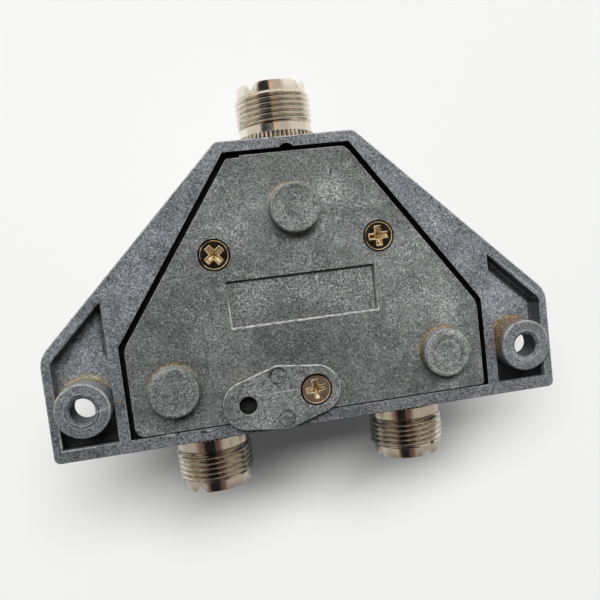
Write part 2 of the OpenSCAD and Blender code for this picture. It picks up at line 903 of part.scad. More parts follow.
module knob_insert() {
  color("goldenrod")
    difference() {
      translate([0, 0, insert_z]) cylinder(r = insert_r - fit, h = insert_l - fit);
      lift(insert_z - cut, knob_shaft_l + fit + cut) rotate(knob_turn) d_section(shaft_r + fit);
      at_set_screw() cylinder(r = set_screw_r + fit, h = skirt_d);
    }
}

module set_screw() {
  color("dimgray")
    at_set_screw()
      translate([0, 0, shaft_r - flat_depth + 2 * fit]) cylinder(r = set_screw_r, h = set_screw_l);
}

module knob_pointer() {
  color("white")
    rotate(blade_a)
      translate([pointer_end - pointer_l, -pointer_w / 2, knob_z + knob_h - pointer_t])
        cube([pointer_l, pointer_w, pointer_t]);
}

housing();
back_plate();
cover_screws();
earth_plate();
earth_screw();
connector_shell(0);  // shell_common
connector_shell(1);  // shell_1
connector_shell(2);  // shell_2
insulator(0);  // insulator_common
insulator(1);  // insulator_1
insulator(2);  // insulator_2
centre_contact(0);  // centre_contact_common
centre_contact(1);  // centre_contact_1
centre_contact(2);  // centre_contact_2
common_spring();
output_clip(-1);  // output_clip_1
output_clip(1);  // output_clip_2
shaft();
retaining_ring();
thrust_washer();
detent_plate();
detent_spring();
ground_wiper();
rotor_hub();
hub_pin();
signal_blade();
blade_screw();
knob();
knob_insert();
set_screw();
knob_pointer();
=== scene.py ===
import math
import random

import bmesh
import bpy
from mathutils import Matrix, Vector


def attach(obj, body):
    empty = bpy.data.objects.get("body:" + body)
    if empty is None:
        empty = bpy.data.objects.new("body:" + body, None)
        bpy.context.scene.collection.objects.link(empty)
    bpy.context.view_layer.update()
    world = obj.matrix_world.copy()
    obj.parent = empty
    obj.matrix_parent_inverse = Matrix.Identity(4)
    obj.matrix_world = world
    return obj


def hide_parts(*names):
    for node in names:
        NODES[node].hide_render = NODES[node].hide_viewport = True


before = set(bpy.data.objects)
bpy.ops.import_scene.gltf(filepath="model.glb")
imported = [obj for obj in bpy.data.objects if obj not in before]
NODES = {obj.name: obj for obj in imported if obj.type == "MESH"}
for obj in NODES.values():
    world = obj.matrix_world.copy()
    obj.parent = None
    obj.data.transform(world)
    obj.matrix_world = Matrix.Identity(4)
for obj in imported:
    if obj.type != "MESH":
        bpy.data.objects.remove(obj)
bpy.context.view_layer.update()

MM = 0.001
SCENE = bpy.context.scene

# Sizes of the CAD model in millimetres, and places (x, y) of its features. Left and right are as
# in the photograph, which looks along +Z: its left is +X.
CASE_H = 56.5
FOOT_H = 2.8
EARTH_T = 1.8
PORT_X, PORT_Z = 21.25, FOOT_H + 12.5
INNER_Z = FOOT_H + 22.6
LEDGE_Z = FOOT_H + 2.5
OPENING_X, OPENING_TOP_X = 36.2, 12.3
OPENING_LOW, OPENING_MID, OPENING_HIGH = -25.85, -7.95, 26.15
PLATE_CORNER = (35.2, -25.6)
PANEL_X, PANEL_LOW, PANEL_HIGH = 15.2, -8.0, 2.4
SCREW_LEFT, SCREW_RIGHT, SCREW_LOW = (16.25, 7.15), (-16.25, 7.15), (0.0, -21.05)
EAR_LEFT, EAR_RIGHT = (43.65, -18.35), (-43.65, -18.35)
FOOT_TOP, FOOT_LEFT, FOOT_RIGHT = (0.0, 14.35), (27.0, -17.55), (-27.0, -17.55)
EARTH_HOLE = (13.449, -22.227)
EARTH_MARKS = [(7.1, -17.35), (6.35, -25.93)]
BOSS_CORE = 4.7


# --- Camera -------------------------------------------------------------
SENSOR_MM, IMAGE_PX, FOCAL_PX = 36, 600, 610.42
TILT_Z, TILT_X, TILT_Y = 0.11958, 0.07580, 0.14196
CAMERA_SHIFT = (0.4571, 3.2988, -118.994)
FIT_ORIGIN_Y = 28  # height of the fit's origin above the case's lower edge


def photo_camera():
    """The photograph's camera, fitted in coordinates of its own: mm, x to the right and y up, with
    z towards the camera. The row frame looks out of the other side.
    """
    turn = (Matrix.Rotation(TILT_Z, 3, "Z") @ Matrix.Rotation(TILT_X, 3, "X")
            @ Matrix.Rotation(TILT_Y, 3, "Y"))
    flip = Matrix(((-1, 0, 0), (0, 1, 0), (0, 0, -1)))
    offset = Vector((0, CASE_H / 2 - FIT_ORIGIN_Y, FOOT_H))
    view = (turn @ flip).transposed()
    place = flip @ (-(turn.transposed() @ Vector(CAMERA_SHIFT)) - offset)
    cam = bpy.data.cameras.new("camera")
    cam.sensor_width = SENSOR_MM
    cam.lens = SENSOR_MM * FOCAL_PX / IMAGE_PX
    cam.clip_start = 0.005
    cam.clip_end = 20
    obj = bpy.data.objects.new("camera", cam)
    obj.matrix_world = Matrix.Translation(place * MM) @ view.to_4x4()
    SCENE.collection.objects.link(obj)
    SCENE.camera = obj


photo_camera()
SCENE.view_settings.view_transform = "Standard"


# --- Shader helpers ------------------------------------------------------
def srgb(*values):
    """Linear values of a colour that is given from 0 to 255."""
    out = []
    for v in values:
        c = v / 255
        out.append(c / 12.92 if c <= 0.04045 else ((c + 0.055) / 1.055) ** 2.4)
    return tuple(out)


class Graph:
    """Short calls for the nodes of one tree. A value is a socket, a number or a tuple."""

    def __init__(self, tree):
        self.tree = tree

    def node(self, kind, **props):
        n = self.tree.nodes.new(kind)
        for k, v in props.items():
            setattr(n, k, v)
        return n

    def link(self, a, b):
        self.tree.links.new(a, b)

    def put(self, socket, value):
        if isinstance(value, bpy.types.NodeSocket):
            self.link(value, socket)
        elif isinstance(value, tuple) and len(value) == 3 and socket.type == "RGBA":
            socket.default_value = (*value, 1)
        else:
            socket.default_value = value

    def math(self, op, a, b=0.0, clamp=False):
        n = self.node("ShaderNodeMath", operation=op, use_clamp=clamp)
        self.put(n.inputs[0], a)
        self.put(n.inputs[1], b)
        return n.outputs[0]

    def times(self, product, *factors):
        for factor in factors:
            product = self.math("MULTIPLY", product, factor)
        return product

    def vec(self, op, a, b=(0.0, 0.0, 0.0)):
        n = self.node("ShaderNodeVectorMath", operation=op)
        self.put(n.inputs[0], a)
        self.put(n.inputs[1], b)
        return n.outputs["Value"] if op in ("LENGTH", "DOT_PRODUCT") else n.outputs[0]

    def scaled(self, vector, by):
        n = self.node("ShaderNodeVectorMath", operation="SCALE")
        self.put(n.inputs[0], vector)
        self.put(n.inputs["Scale"], by)
        return n.outputs[0]

    def part(self, place, name):
        n = self.node("ShaderNodeSeparateXYZ")
        self.link(place, n.inputs[0])
        return n.outputs[name]

    def span(self, value, low, high, out_low=0.0, out_high=1.0, smooth=True):
        n = self.node("ShaderNodeMapRange", interpolation_type="SMOOTHSTEP" if smooth else "LINEAR")
        self.put(n.inputs["Value"], value)
        n.inputs["From Min"].default_value = low
        n.inputs["From Max"].default_value = high
        n.inputs["To Min"].default_value = out_low
        n.inputs["To Max"].default_value = out_high
        return n.outputs["Result"]

    def mix(self, share, a, b, blend="MIX"):
        n = self.node("ShaderNodeMix", data_type="RGBA", blend_type=blend)
        self.put(n.inputs[0], share)
        self.put(n.inputs[6], a)
        self.put(n.inputs[7], b)
        return n.outputs[2]

    def surface(self, share, a, b):
        """Ends the tree with shader a where share is 0 and b where it is 1."""
        n = self.node("ShaderNodeMixShader")
        for socket, value in zip(n.inputs, (share, a, b)):
            self.link(value, socket)
        self.link(n.outputs[0], self.node("ShaderNodeOutputMaterial").inputs[0])


class Shader(Graph):
    """A principled material whose colour, roughness and bump come from 3-D noise in millimetres."""

    def __init__(self, name, metallic=0.0, rough=0.5, specular=0.5):
        self.mat = bpy.data.materials.new(name)
        self.mat.use_nodes = True
        super().__init__(self.mat.node_tree)
        self.bsdf = self.tree.nodes["Principled BSDF"]
        self.set("Metallic", metallic)
        self.set("Roughness", rough)
        self.set("Specular IOR Level", specular)
        self.mm = self.scaled(self.node("ShaderNodeTexCoord").outputs["Object"], 1 / MM)

    def set(self, name, value):
        self.put(self.bsdf.inputs[name], value)

    def axis(self, name):
        return self.part(self.mm, name)

    def noise(self, per_mm, detail=3.0, rough=0.55, seed=0.0, distort=0.0):
        n = self.node("ShaderNodeTexNoise")
        self.link(self.vec("ADD", self.mm, (seed * 17.3, seed * 5.1, seed * 9.7)), n.inputs["Vector"])
        n.inputs["Scale"].default_value = per_mm
        n.inputs["Detail"].default_value = detail
        n.inputs["Roughness"].default_value = rough
        n.inputs["Distortion"].default_value = distort
        return n.outputs["Fac"]

    def cells(self, per_mm, seed):
        n = self.node("ShaderNodeTexVoronoi", feature="F1")
        self.link(self.vec("ADD", self.mm, (seed * 7.7, seed * 3.3, seed * 11.1)), n.inputs["Vector"])
        n.inputs["Scale"].default_value = per_mm
        return n.outputs["Distance"]

    def bump(self, height, strength, distance_mm):
        n = self.node("ShaderNodeBump")
        n.inputs["Strength"].default_value = strength
        n.inputs["Distance"].default_value = distance_mm * MM
        self.link(height, n.inputs["Height"])
        self.link(n.outputs[0], self.bsdf.inputs["Normal"])

    def painted(self, name):
        """Red marks worn rounded edges and sets their painted light and shade, green is painted shade in
        seams, holes and recesses, and blue is dirt and painted shade in valleys.
        """
        n = self.node("ShaderNodeAttribute", attribute_name="finish")
        split = self.node("ShaderNodeSeparateColor")
        self.link(n.outputs["Color"], split.inputs[0])
        return split.outputs[name]

    def across(self, x, y):
        """The level way to the point from the line x, y, which is parallel to Z."""
        return self.vec("MULTIPLY", self.vec("SUBTRACT", self.mm, (x, y, 0.0)), (1.0, 1.0, 0.0))

    def near(self, x, y, r_in, r_out):
        """1 within r_in mm of the line x, y, falling to 0 at r_out."""
        return self.span(self.vec("LENGTH", self.across(x, y)), r_in, r_out, 1.0, 0.0)

    def toward(self, x, y, angle, low, high):
        """1 on the side of the line x, y that lies in the direction of the angle, in degrees."""
        way = (math.cos(math.radians(angle)), math.sin(math.radians(angle)), 0.0)
        return self.span(self.vec("DOT_PRODUCT", self.vec("NORMALIZE", self.across(x, y)), way), low, high)

    def within(self, off, half):
        """1 in the core of a line, falling to 0 at half its width."""
        return self.span(off, half * 0.4, half, 1.0, 0.0)

    def ring(self, x, y, r, half):
        """1 on the circle of radius r about the line x, y."""
        off = self.math("SUBTRACT", self.vec("LENGTH", self.across(x, y)), r)
        return self.within(self.math("ABSOLUTE", off), half)

    def stroke(self, x0, y0, x1, y1, half):
        """1 on the straight line between two points."""
        way = Vector((x1 - x0, y1 - y0, 0.0))
        start = self.across(x0, y0)
        along = self.vec("DOT_PRODUCT", start, tuple(way))
        share = self.math("DIVIDE", along, way.length_squared, clamp=True)
        off = self.vec("SUBTRACT", start, self.scaled(tuple(way), share))
        return self.within(self.vec("LENGTH", off), half)


# --- Cast metal ------------------------------------------------------------
# Colours of the painted shade in seams, holes and pockets, and of the painted glints.
SHADE_BLACK, GLINT = srgb(14, 14, 15), srgb(196, 198, 201)
EDGE_LIT, EDGE_SHADED = srgb(222, 220, 212), srgb(40, 41, 42)
BACK_FROM, BACK_TO = 6.4, 7.0  # heights between which the marks and the dust of the back end
GAIN_X, GAIN_LOW_Y, GAIN_HIGH_Y = 45, -28, 4  # ends of the painted light gains from side to side and upwards
LIT_WAY = (-0.35, 0.94, 0.0)


def mottled(s, dark, mid, light, seed, scuffs):
    """Cloudy grey with rubbed specks. scuffs holds (x, y, radius, amount)."""
    tone = s.mix(s.span(s.noise(0.14, 4, 0.6, seed), 0.36, 0.64), dark, mid)
    patch = s.span(s.noise(0.6, 4, 0.65, seed + 1, distort=0.8), 0.45, 0.72)
    tone = s.mix(s.times(patch, 0.22), tone, light)
    specks = s.span(s.noise(2.3, 4, 0.8, seed + 4, distort=0.25), 0.50, 0.61)
    rubbed = s.span(s.noise(0.22, 3, 0.6, seed + 7), 0.45, 0.7, 0.1, 0.5)
    for x, y, r, amount in scuffs:
        rubbed = s.math("MAXIMUM", rubbed, s.times(s.near(x, y, r * 0.25, r), amount))
    return s.mix(s.times(rubbed, specks), tone, light)


def painted_light_gain(s, side_light, upward_light, top_light, patches):
    """Painted light and shade: gains from side to side and from the lower end up, as the light falls,
    on the bosses' tops, and in round patches that are partly scuffs and partly painted light.

    patches holds (x, y, radius, gain).
    """
    gain = s.times(s.span(s.axis("X"), -GAIN_X, GAIN_X, *side_light, smooth=False),
                   s.span(s.axis("Y"), GAIN_LOW_Y, GAIN_HIGH_Y, *upward_light),
                   s.span(s.axis("Z"), 0.2, 0.9, top_light, 1.0))
    for x, y, r, amount in patches:
        gain = s.times(gain, s.math("ADD", s.times(s.near(x, y, r * 0.3, r), amount - 1.0), 1.0))
    return gain


def boss_walls(s, tone, way, walls):
    """Light on the upper walls of round bosses. walls holds (x, y, radius, tone, amount)."""
    for x, y, r, colour, amount in walls:
        wall = s.times(s.near(x, y, r + 0.3, r + 0.5), s.span(s.axis("Z"), 0.5, 0.9),
                       s.span(s.vec("DOT_PRODUCT", way, (0.0, 1.0, 0.0)), 0.2, 0.8))
        tone = s.mix(s.times(wall, amount), tone, colour)
    return tone


def worn_and_lit_edges(s, tone, way, seed):
    """Rounded edges, pale, ragged and worn, with painted light where they face the light and painted
    shade where they turn away.
    """
    up = s.vec("DOT_PRODUCT", way, LIT_WAY)
    ragged = s.span(s.noise(1.1, 3, 0.65, seed + 5), 0.38, 0.58, 0.25, 1.0)
    tone = s.mix(s.times(s.painted("Red"), ragged, s.span(up, -0.25, 0.35, 0.12, 1.0)), tone, EDGE_LIT)
    return s.mix(s.times(s.painted("Red"), s.span(up, -0.5, -0.1, 0.6, 0.0)), tone, EDGE_SHADED)


def marks_and_shadows(s, tone, back_side, rings, strokes, seed):
    """Turned rings and scratches, and painted shadows and highlights drawn the same way. rings holds
    (x, y, radius, half width, tone, amount) and strokes (x0, y0, x1, y1, half width, tone, amount).
    """
    broken = s.span(s.noise(0.45, 3, 0.7, seed + 8), 0.42, 0.54, 0.3, 1.0)
    masks = [(s.times(s.ring(*place), broken), colour, amount) for *place, colour, amount in rings]
    masks += [(s.stroke(*place), colour, amount) for *place, colour, amount in strokes]
    for mask, colour, amount in masks:
        tone = s.mix(s.times(mask, back_side, amount), tone, colour)
    return tone


def pocket_shade(s, tone, shades):
    """Dark at the pockets' lower ends. shades holds (x0, x1, y0, y1, z_from, amount)."""
    for x0, x1, y0, y1, z_from, amount in shades:
        inside = s.times(s.span(s.axis("X"), x0, x0 + 0.6), s.span(s.axis("X"), x1 - 0.6, x1, 1.0, 0.0),
                         s.span(s.axis("Y"), y0, y1, 1.0, 0.0), s.span(s.axis("Z"), z_from, z_from + 1.2))
        tone = s.mix(s.times(inside, amount), tone, SHADE_BLACK)
    return tone


def dusty(s, tone, back_side, dust, seed):
    """Dust round one side of the bosses.

    dust holds (x, y, r_in, r_out, z_from, z_to, angle, amount, dark tone, light tone).
    """
    if not dust:
        return tone
    speck = s.span(s.noise(2.2, 3, 0.8, seed + 6), 0.36, 0.54)
    shade = s.span(s.noise(2.8, 2, 0.7, seed + 9), 0.42, 0.6)
    for x, y, r_in, r_out, z_from, z_to, angle, amount, low, high in dust:
        share = s.times(s.near(x, y, r_in, r_out), s.toward(x, y, angle, 0.1, 0.75), speck,
                        s.span(s.axis("Z"), z_from, z_to), back_side, amount)
        if r_in > BOSS_CORE:
            share = s.times(share, s.math("SUBTRACT", 1.0, s.near(x, y, BOSS_CORE - 0.4, BOSS_CORE)))
        tone = s.mix(share, tone, s.mix(shade, low, high))
    return tone


def cast_metal(name, dark, mid, light, seed, scuffs=(), dust=(), rings=(), strokes=(), shades=(),
               walls=(), patches=(), sparkle=0.5, side_light=(1.0, 1.0), upward_light=(1.0, 1.0), top_light=1.0):
    """Sand-blasted die casting: granular grey, worn edges, marks and dust, with painted glints and
    painted light and shade.
    """
    s = Shader(name, metallic=0.2, rough=0.6, specular=0.4)
    grain = s.noise(2.2, 3, 0.75, seed + 2)
    grit = s.math("ADD", s.times(grain, 0.55), s.times(s.noise(4.0, 2, 0.6, seed + 3), 0.45))
    way = s.node("ShaderNodeNewGeometry").outputs["Normal"]
    back_side = s.span(s.axis("Z"), BACK_FROM, BACK_TO, 1.0, 0.0)
    tone = mottled(s, dark, mid, light, seed, scuffs)
    tone = s.mix(1.0, tone, s.span(grit, 0.38, 0.62, 0.2, 1.9, smooth=False), "MULTIPLY")
    # Painted light and shade: lighter to one side, upwards, on the bosses' tops and in patches.
    tone = s.mix(1.0, tone, painted_light_gain(s, side_light, upward_light, top_light, patches), "MULTIPLY")
    tone = s.mix(s.times(s.span(s.cells(1.9, seed), 0.10, 0.18, 1.0, 0.0), sparkle), tone, GLINT)
    tone = boss_walls(s, tone, way, walls)
    tone = worn_and_lit_edges(s, tone, way, seed)
    tone = marks_and_shadows(s, tone, back_side, rings, strokes, seed)
    tone = pocket_shade(s, tone, shades)
    tone = dusty(s, tone, back_side, dust, seed)
    # Painted shade: faces in seams, holes and recesses, as the green channel says, turn near black.
    tone = s.mix(s.times(s.painted("Green"), 0.96), tone, SHADE_BLACK)
    s.set("Base Color", tone)
    s.set("Roughness", s.span(grain, 0.3, 0.7, 0.42, 0.72))
    s.bump(grit, 0.8, 0.22)
    return s


# --- Other materials ---------------------------------------------------------
def plated(name, tone, dull, rough, seed, rough_span=0.08, scratch=0.02, grime_and_shade=None):
    """Turned and plated metal with faint stains and fine scratches, and dirt with painted shade in
    the valleys that the blue channel picks out.
    """
    s = Shader(name, metallic=1.0, rough=rough)
    stain = s.span(s.noise(0.5, 4, 0.6, seed, distort=0.5), 0.45, 0.72)
    tone = s.mix(s.times(stain, 0.45), tone, dull)
    if grime_and_shade is not None:
        patchy = s.span(s.noise(0.9, 3, 0.7, seed + 3), 0.3, 0.6, 0.3, 0.8)
        tone = s.mix(s.times(s.painted("Blue"), patchy), tone, grime_and_shade)
    s.set("Base Color", tone)
    s.set("Roughness", s.span(s.noise(1.3, 3, 0.6, seed + 1), 0.3, 0.7, rough, rough + rough_span))
    s.bump(s.noise(4.0, 2, 0.6, seed + 2), 0.2, scratch)
    return s


def moulded(name, tone, shade, rough, seed, relief=0.02, per_mm=2.6):
    """Moulded plastic with a fine eroded surface and slight dirt."""
    s = Shader(name, rough=rough)
    smudge = s.span(s.noise(0.35, 4, 0.6, seed, distort=0.4), 0.42, 0.7)
    s.set("Base Color", s.mix(smudge, tone, shade))
    s.set("Roughness", s.span(s.noise(0.8, 3, 0.6, seed + 1), 0.3, 0.7, rough - 0.06, rough + 0.12))
    s.bump(s.noise(per_mm, 2, 0.6, seed + 2), 0.35, relief)
    return s


PALE, DULL, PAINTED_SHADOW = srgb(186, 188, 187), srgb(66, 67, 67), srgb(18, 18, 19)
TAN_DUST = (srgb(128, 112, 84), srgb(204, 188, 152))
BROWN_DUST = (srgb(64, 48, 28), srgb(198, 160, 104))
DARK_DUST = (srgb(40, 36, 30), srgb(96, 86, 66))
case_mat = cast_metal(
    "cast_case", srgb(92, 95, 99), srgb(116, 120, 124), srgb(170, 174, 178), 1.0,
    scuffs=[(-28, 8, 9, 0.7), (-34, -2, 7, 0.5), (20, 20, 7, 0.35), (22, -27, 5, 0.6), (43, -9, 6, 0.4)],
    walls=[(*EAR_LEFT, 5.17, srgb(172, 180, 192), 0.75), (*EAR_RIGHT, 5.17, srgb(160, 166, 176), 0.6)],
    dust=[(*EAR_LEFT, 5.4, 6.2, 1.9, 3.4, 78, 1.0, *TAN_DUST),
          (*EAR_RIGHT, 5.4, 6.1, 0.7, 1.6, 58, 0.95, *BROWN_DUST),
          (37.4, -18.3, 0.3, 1.1, -1.0, 0.0, 90, 0.4, *BROWN_DUST)],
    rings=[(*EAR_LEFT, 3.0, 0.2, srgb(40, 41, 43), 0.8), (*EAR_LEFT, 3.3, 0.12, PALE, 0.4),
           (*EAR_RIGHT, 3.1, 0.2, PALE, 0.4), (*EAR_LEFT, 4.9, 0.16, PALE, 0.3)],
    # Pale scratches, a gouge and a chipped line, and dark painted shadow along the pockets' walls.
    strokes=[(41.6, -19.1, 38.2, -17.9, 0.14, PALE, 0.7),
             (22.9, -26.3, 22.0, -26.5, 0.3, srgb(20, 20, 21), 0.9),
             (21.8, -26.3, 21.0, -26.3, 0.2, PALE, 0.9), (-38.9, -0.9, -48.4, -10.0, 0.85, PAINTED_SHADOW, 0.85),
             (-48.3, -10.2, -48.3, -14.0, 0.6, PAINTED_SHADOW, 0.7), (-40.2, -0.2, -48.9, -8.5, 0.16, PALE, 0.55),
             (39.1, 0.4, 39.1, -9.0, 0.7, PAINTED_SHADOW, 0.6), (39.2, 0.2, 48.0, -8.4, 0.3, PAINTED_SHADOW, 0.4)],
    shades=[(37.6, 49.2, -24.5, -18.8, 3.4, 0.85), (-49.2, -37.6, -24.0, -18.5, 3.4, 0.9)],
    # These patches, partly scuffs, and the gains on the next line paint light and shade into the tone.
    patches=[(-40, -9, 8, 1.35), (43, -12, 10, 1.12)],
    sparkle=0.6, side_light=(1.12, 1.0), upward_light=(0.82, 1.12), top_light=1.1,
)
plate_mat = cast_metal(
    "cast_plate", srgb(84, 87, 86), srgb(105, 108, 107), srgb(174, 177, 176), 3.0,
    scuffs=[(10, -1, 8, 0.8), (0, 0, 9, 0.8), (-9, -2, 8, 0.8), (-26, -6, 10, 0.5), (-22, 3, 8, 0.5),
            (-7, 17, 4, 0.9), (-2, 4, 6, 0.5), (18, -4, 8, 0.5), (2, -11, 9, 0.5), (-16, -13, 8, 0.5)],
    walls=[(*FOOT_TOP, 4.8, srgb(190, 192, 192), 0.6), (*FOOT_LEFT, 4.8, srgb(196, 200, 202), 0.8),
           (*FOOT_RIGHT, 4.8, srgb(190, 192, 192), 0.6)],
    # These patches, partly scuffs, and the gains further down paint light and shade into the tone.
    patches=[(-24, 0, 17, 1.3), (-27, -17.5, 9, 1.12), (0, -3, 15, 1.1), (22, 4, 12, 1.1),
             (-31, -10, 7, 1.3), (27, -17.5, 9, 0.92), (14, 16, 14, 1.36), (-10, 13.5, 11, 1.5),
             (4, -10, 11, 0.7)],
    dust=[(*FOOT_TOP, 5.0, 5.5, 0.6, 1.4, 95, 0.8, *TAN_DUST),
          (*FOOT_LEFT, 5.0, 5.6, 1.2, 2.2, 85, 0.9, *TAN_DUST),
          (*FOOT_LEFT, 5.2, 6.6, 1.2, 2.2, 85, 0.5, *DARK_DUST),
          (*FOOT_RIGHT, 5.0, 5.6, 1.2, 2.2, 55, 0.85, *BROWN_DUST),
          (13.5, -20.5, 4.5, 6.0, -1.0, 0.0, 110, 0.14, *TAN_DUST)],
    rings=[(*FOOT_TOP, 2.2, 0.16, PALE, 0.3), (*FOOT_TOP, 3.3, 0.12, PALE, 0.3),
           (*FOOT_TOP, 1.5, 0.12, srgb(60, 61, 61), 0.4), (*FOOT_LEFT, 4.1, 0.16, PALE, 0.25),
           (*FOOT_RIGHT, 4.0, 0.2, PALE, 0.5), (*FOOT_RIGHT, 3.1, 0.16, DULL, 0.4),
           (*FOOT_RIGHT, 2.4, 0.2, PALE, 0.35), (*FOOT_RIGHT, 1.5, 0.16, DULL, 0.35)],
    # Pale scratches and a blue mark, and dark painted shadow along the panel's upper and right edges.
    strokes=[(0.7, 14.2, -0.2, 13.4, 0.13, PALE, 0.6), (-0.2, 15.0, -1.3, 14.1, 0.13, PALE, 0.5),
             (0.4, 15.4, -0.4, 14.5, 0.12, PALE, 0.5),
             (-8.25, 21.0, -7.95, 19.9, 0.22, srgb(52, 62, 92), 0.8),
             # A painted highlight standing in for a small bump.
             (14.9, 12.3, 14.3, 12.0, 0.22, srgb(210, 212, 212), 0.7),
             (14.3, 1.5, -14.3, 1.5, 0.32, PAINTED_SHADOW, 0.8), (-14.35, 1.5, -14.35, -7.0, 0.22, PAINTED_SHADOW, 0.75)],
    sparkle=0.35, side_light=(1.1, 1.02), top_light=1.16,
)
earth_mat = cast_metal(
    "cast_earth", srgb(98, 101, 100), srgb(120, 123, 122), srgb(176, 179, 178), 5.0,
    scuffs=[(11, -25, 5, 0.6), (3, -24, 5, 0.6), (9, -19, 4, 0.4)],
    # Dark rings painted as the shade in the edges of the ejector-pin recesses.
    rings=[(*EARTH_MARKS[0], 1.53, 0.3, srgb(30, 31, 32), 0.9),
           (*EARTH_MARKS[1], 1.53, 0.3, srgb(30, 31, 32), 0.8)],
    strokes=[(11.4, -20.6, 3.6, -20.45, 0.13, srgb(196, 198, 196), 0.5)],
    sparkle=0.35,
)
nickel = plated("nickel_plate", srgb(240, 233, 220), srgb(206, 190, 164), 0.1, 7.0, scratch=0.012,
                grime_and_shade=srgb(104, 84, 62))
zinc = plated("yellow_zinc", srgb(246, 226, 184), srgb(176, 148, 102), 0.08, 8.0, scratch=0.012)
worn_zinc = plated("worn_zinc", srgb(240, 220, 190), srgb(134, 112, 90), 0.1, 19.0, 0.1, 0.04)
silver = plated("contact_plate", srgb(222, 216, 200), srgb(186, 174, 146), 0.2, 9.0)
bronze = plated("spring_bronze", srgb(206, 160, 104), srgb(150, 106, 66), 0.3, 10.0)
brass = plated("raw_brass", srgb(214, 180, 112), srgb(168, 132, 74), 0.26, 11.0)
steel = plated("bright_steel", srgb(196, 196, 194), srgb(160, 158, 154), 0.26, 12.0)
dark_steel = plated("spring_steel", srgb(112, 113, 116), srgb(78, 76, 74), 0.34, 13.0)
zinc_steel = plated("zinc_steel", srgb(190, 194, 198), srgb(160, 163, 166), 0.24, 14.0)
insulator = moulded("insulator", srgb(226, 221, 206), srgb(206, 197, 176), 0.42, 15.0)
nylon = moulded("nylon", srgb(226, 222, 206), srgb(206, 200, 180), 0.4, 16.0)
black = moulded("knob_plastic", srgb(30, 30, 32), srgb(42, 41, 41), 0.36, 17.0, 0.03, 3.2)
paint = moulded("white_paint", srgb(226, 226, 222), srgb(200, 197, 188), 0.5, 18.0)

LOOKS = {
    "back_plate": plate_mat, "earth_plate": earth_mat, "housing": case_mat,
    "shaft": steel, "hub_pin": steel, "retaining_ring": dark_steel, "detent_spring": dark_steel,
    "set_screw": dark_steel, "detent_plate": zinc_steel, "thrust_washer": nylon, "rotor_hub": insulator,
    "ground_wiper": silver, "signal_blade": silver, "blade_screw": brass, "knob_insert": brass,
    "knob": black, "knob_pointer": paint, "common_spring": bronze, "output_clip_1": bronze,
    "output_clip_2": bronze, "cover_screws": zinc, "earth_screw": worn_zinc,
}
for port in ("common", "1", "2"):
    LOOKS["shell_" + port] = nickel
    LOOKS["insulator_" + port] = insulator
    LOOKS["centre_contact_" + port] = silver
for node, look in LOOKS.items():
    NODES[node].data.materials.clear()
    NODES[node].data.materials.append(look.mat)


# --- Castings ----------------------------------------------------------------
SHARP_ANGLE = math.radians(28)
LEVEL = 0.02            # an edge is level where its ends differ by less than this in height
SAME_CHAIN = 0.05       # neighbouring edges within this height belong to one group
MERGE, SHELL_MERGE = 0.002, 0.0002
FLAT_ANGLE = math.radians(0.4)
BEVEL_SEGMENTS = 3
CASE_ROUNDING, PLATE_ROUNDING = 0.28, 0.26
CORNER_FROM, CORNER_TO = 0.8, 1.9
FACE_Z = 0.2            # edges of the feet's and bosses' faces lie below this
SKIN = 0.05             # walls begin this far behind a face
OPENING_MARGIN, OPENING_TOP_MARGIN = 0.1, 0.9
OUTER_WALL = 22         # |x| + |y| of the back plate's outer walls is more than this
PORT_EDGE_Y, PORT_EDGE_Z = 27.5, FOOT_H + 4
POCKET_X, POCKET_Y, POCKET_Z = 37, -15, FOOT_H + 3.4
# Reach of the walls and edges of round features, from their axes
EAR_WALL, EAR_EDGE = 2.45, 4.4
HEAD_WALL, HEAD_EDGE = 3.2, 3.6
PLATE_HOLE_WALL, EARTH_HOLE_WALL, EARTH_HOLE_EDGE, MARK_EDGE = 2.0, 1.9, 2.2, 2.0


def finish_mesh(obj, look, sharp):
    """Gives a new object its material and smooth shading up to the sharp angle, in degrees."""
    obj.data.materials.clear()
    obj.data.materials.append(look.mat)
    obj.data.polygons.foreach_set("use_smooth", [True] * len(obj.data.polygons))
    obj.data.set_sharp_from_angle(angle=math.radians(sharp))
    SCENE.collection.objects.link(obj)


def flatten_faces(obj):
    """Keeps the large faces flat beside their rounded edges."""
    obj.modifiers.new("flat_faces", "WEIGHTED_NORMAL").keep_sharp = True


def in_opening(x, y):
    """Whether a point lies within the opening of the case."""
    slope = (OPENING_X - OPENING_TOP_X) / (OPENING_HIGH - OPENING_MID)
    reach = OPENING_X - max(0.0, y - OPENING_MID) * slope
    level = OPENING_LOW - OPENING_MARGIN < y < OPENING_HIGH + OPENING_TOP_MARGIN
    return level and abs(x) < reach + OPENING_MARGIN


def close_to(p, r, *places):
    return any(math.hypot(p.x - x, p.y - y) <= r for x, y in places)


def bevel_groups(bm, wanted):
    """Sharp level edges in connected groups, so that a small feature doesn't limit the others."""
    layer = bm.edges.layers.int.new("group")
    todo = {}  # keys keep the order of the mesh, which a set wouldn't, so each run gives the same groups
    for e in bm.edges:
        if len(e.link_faces) == 2 and e.calc_face_angle(0) >= SHARP_ANGLE:
            a, b = (v.co / MM for v in e.verts)
            if abs(a.z - b.z) <= LEVEL and wanted((a + b) / 2):
                todo[e] = True
    groups = 0
    while todo:
        groups += 1
        chain = [todo.popitem()[0]]
        while chain:
            e = chain.pop()
            e[layer] = groups
            for v in e.verts:
                for other in v.link_edges:
                    if other in todo and abs(other.verts[0].co.z - e.verts[0].co.z) < SAME_CHAIN * MM:
                        del todo[other]
                        chain.append(other)
    return layer, groups


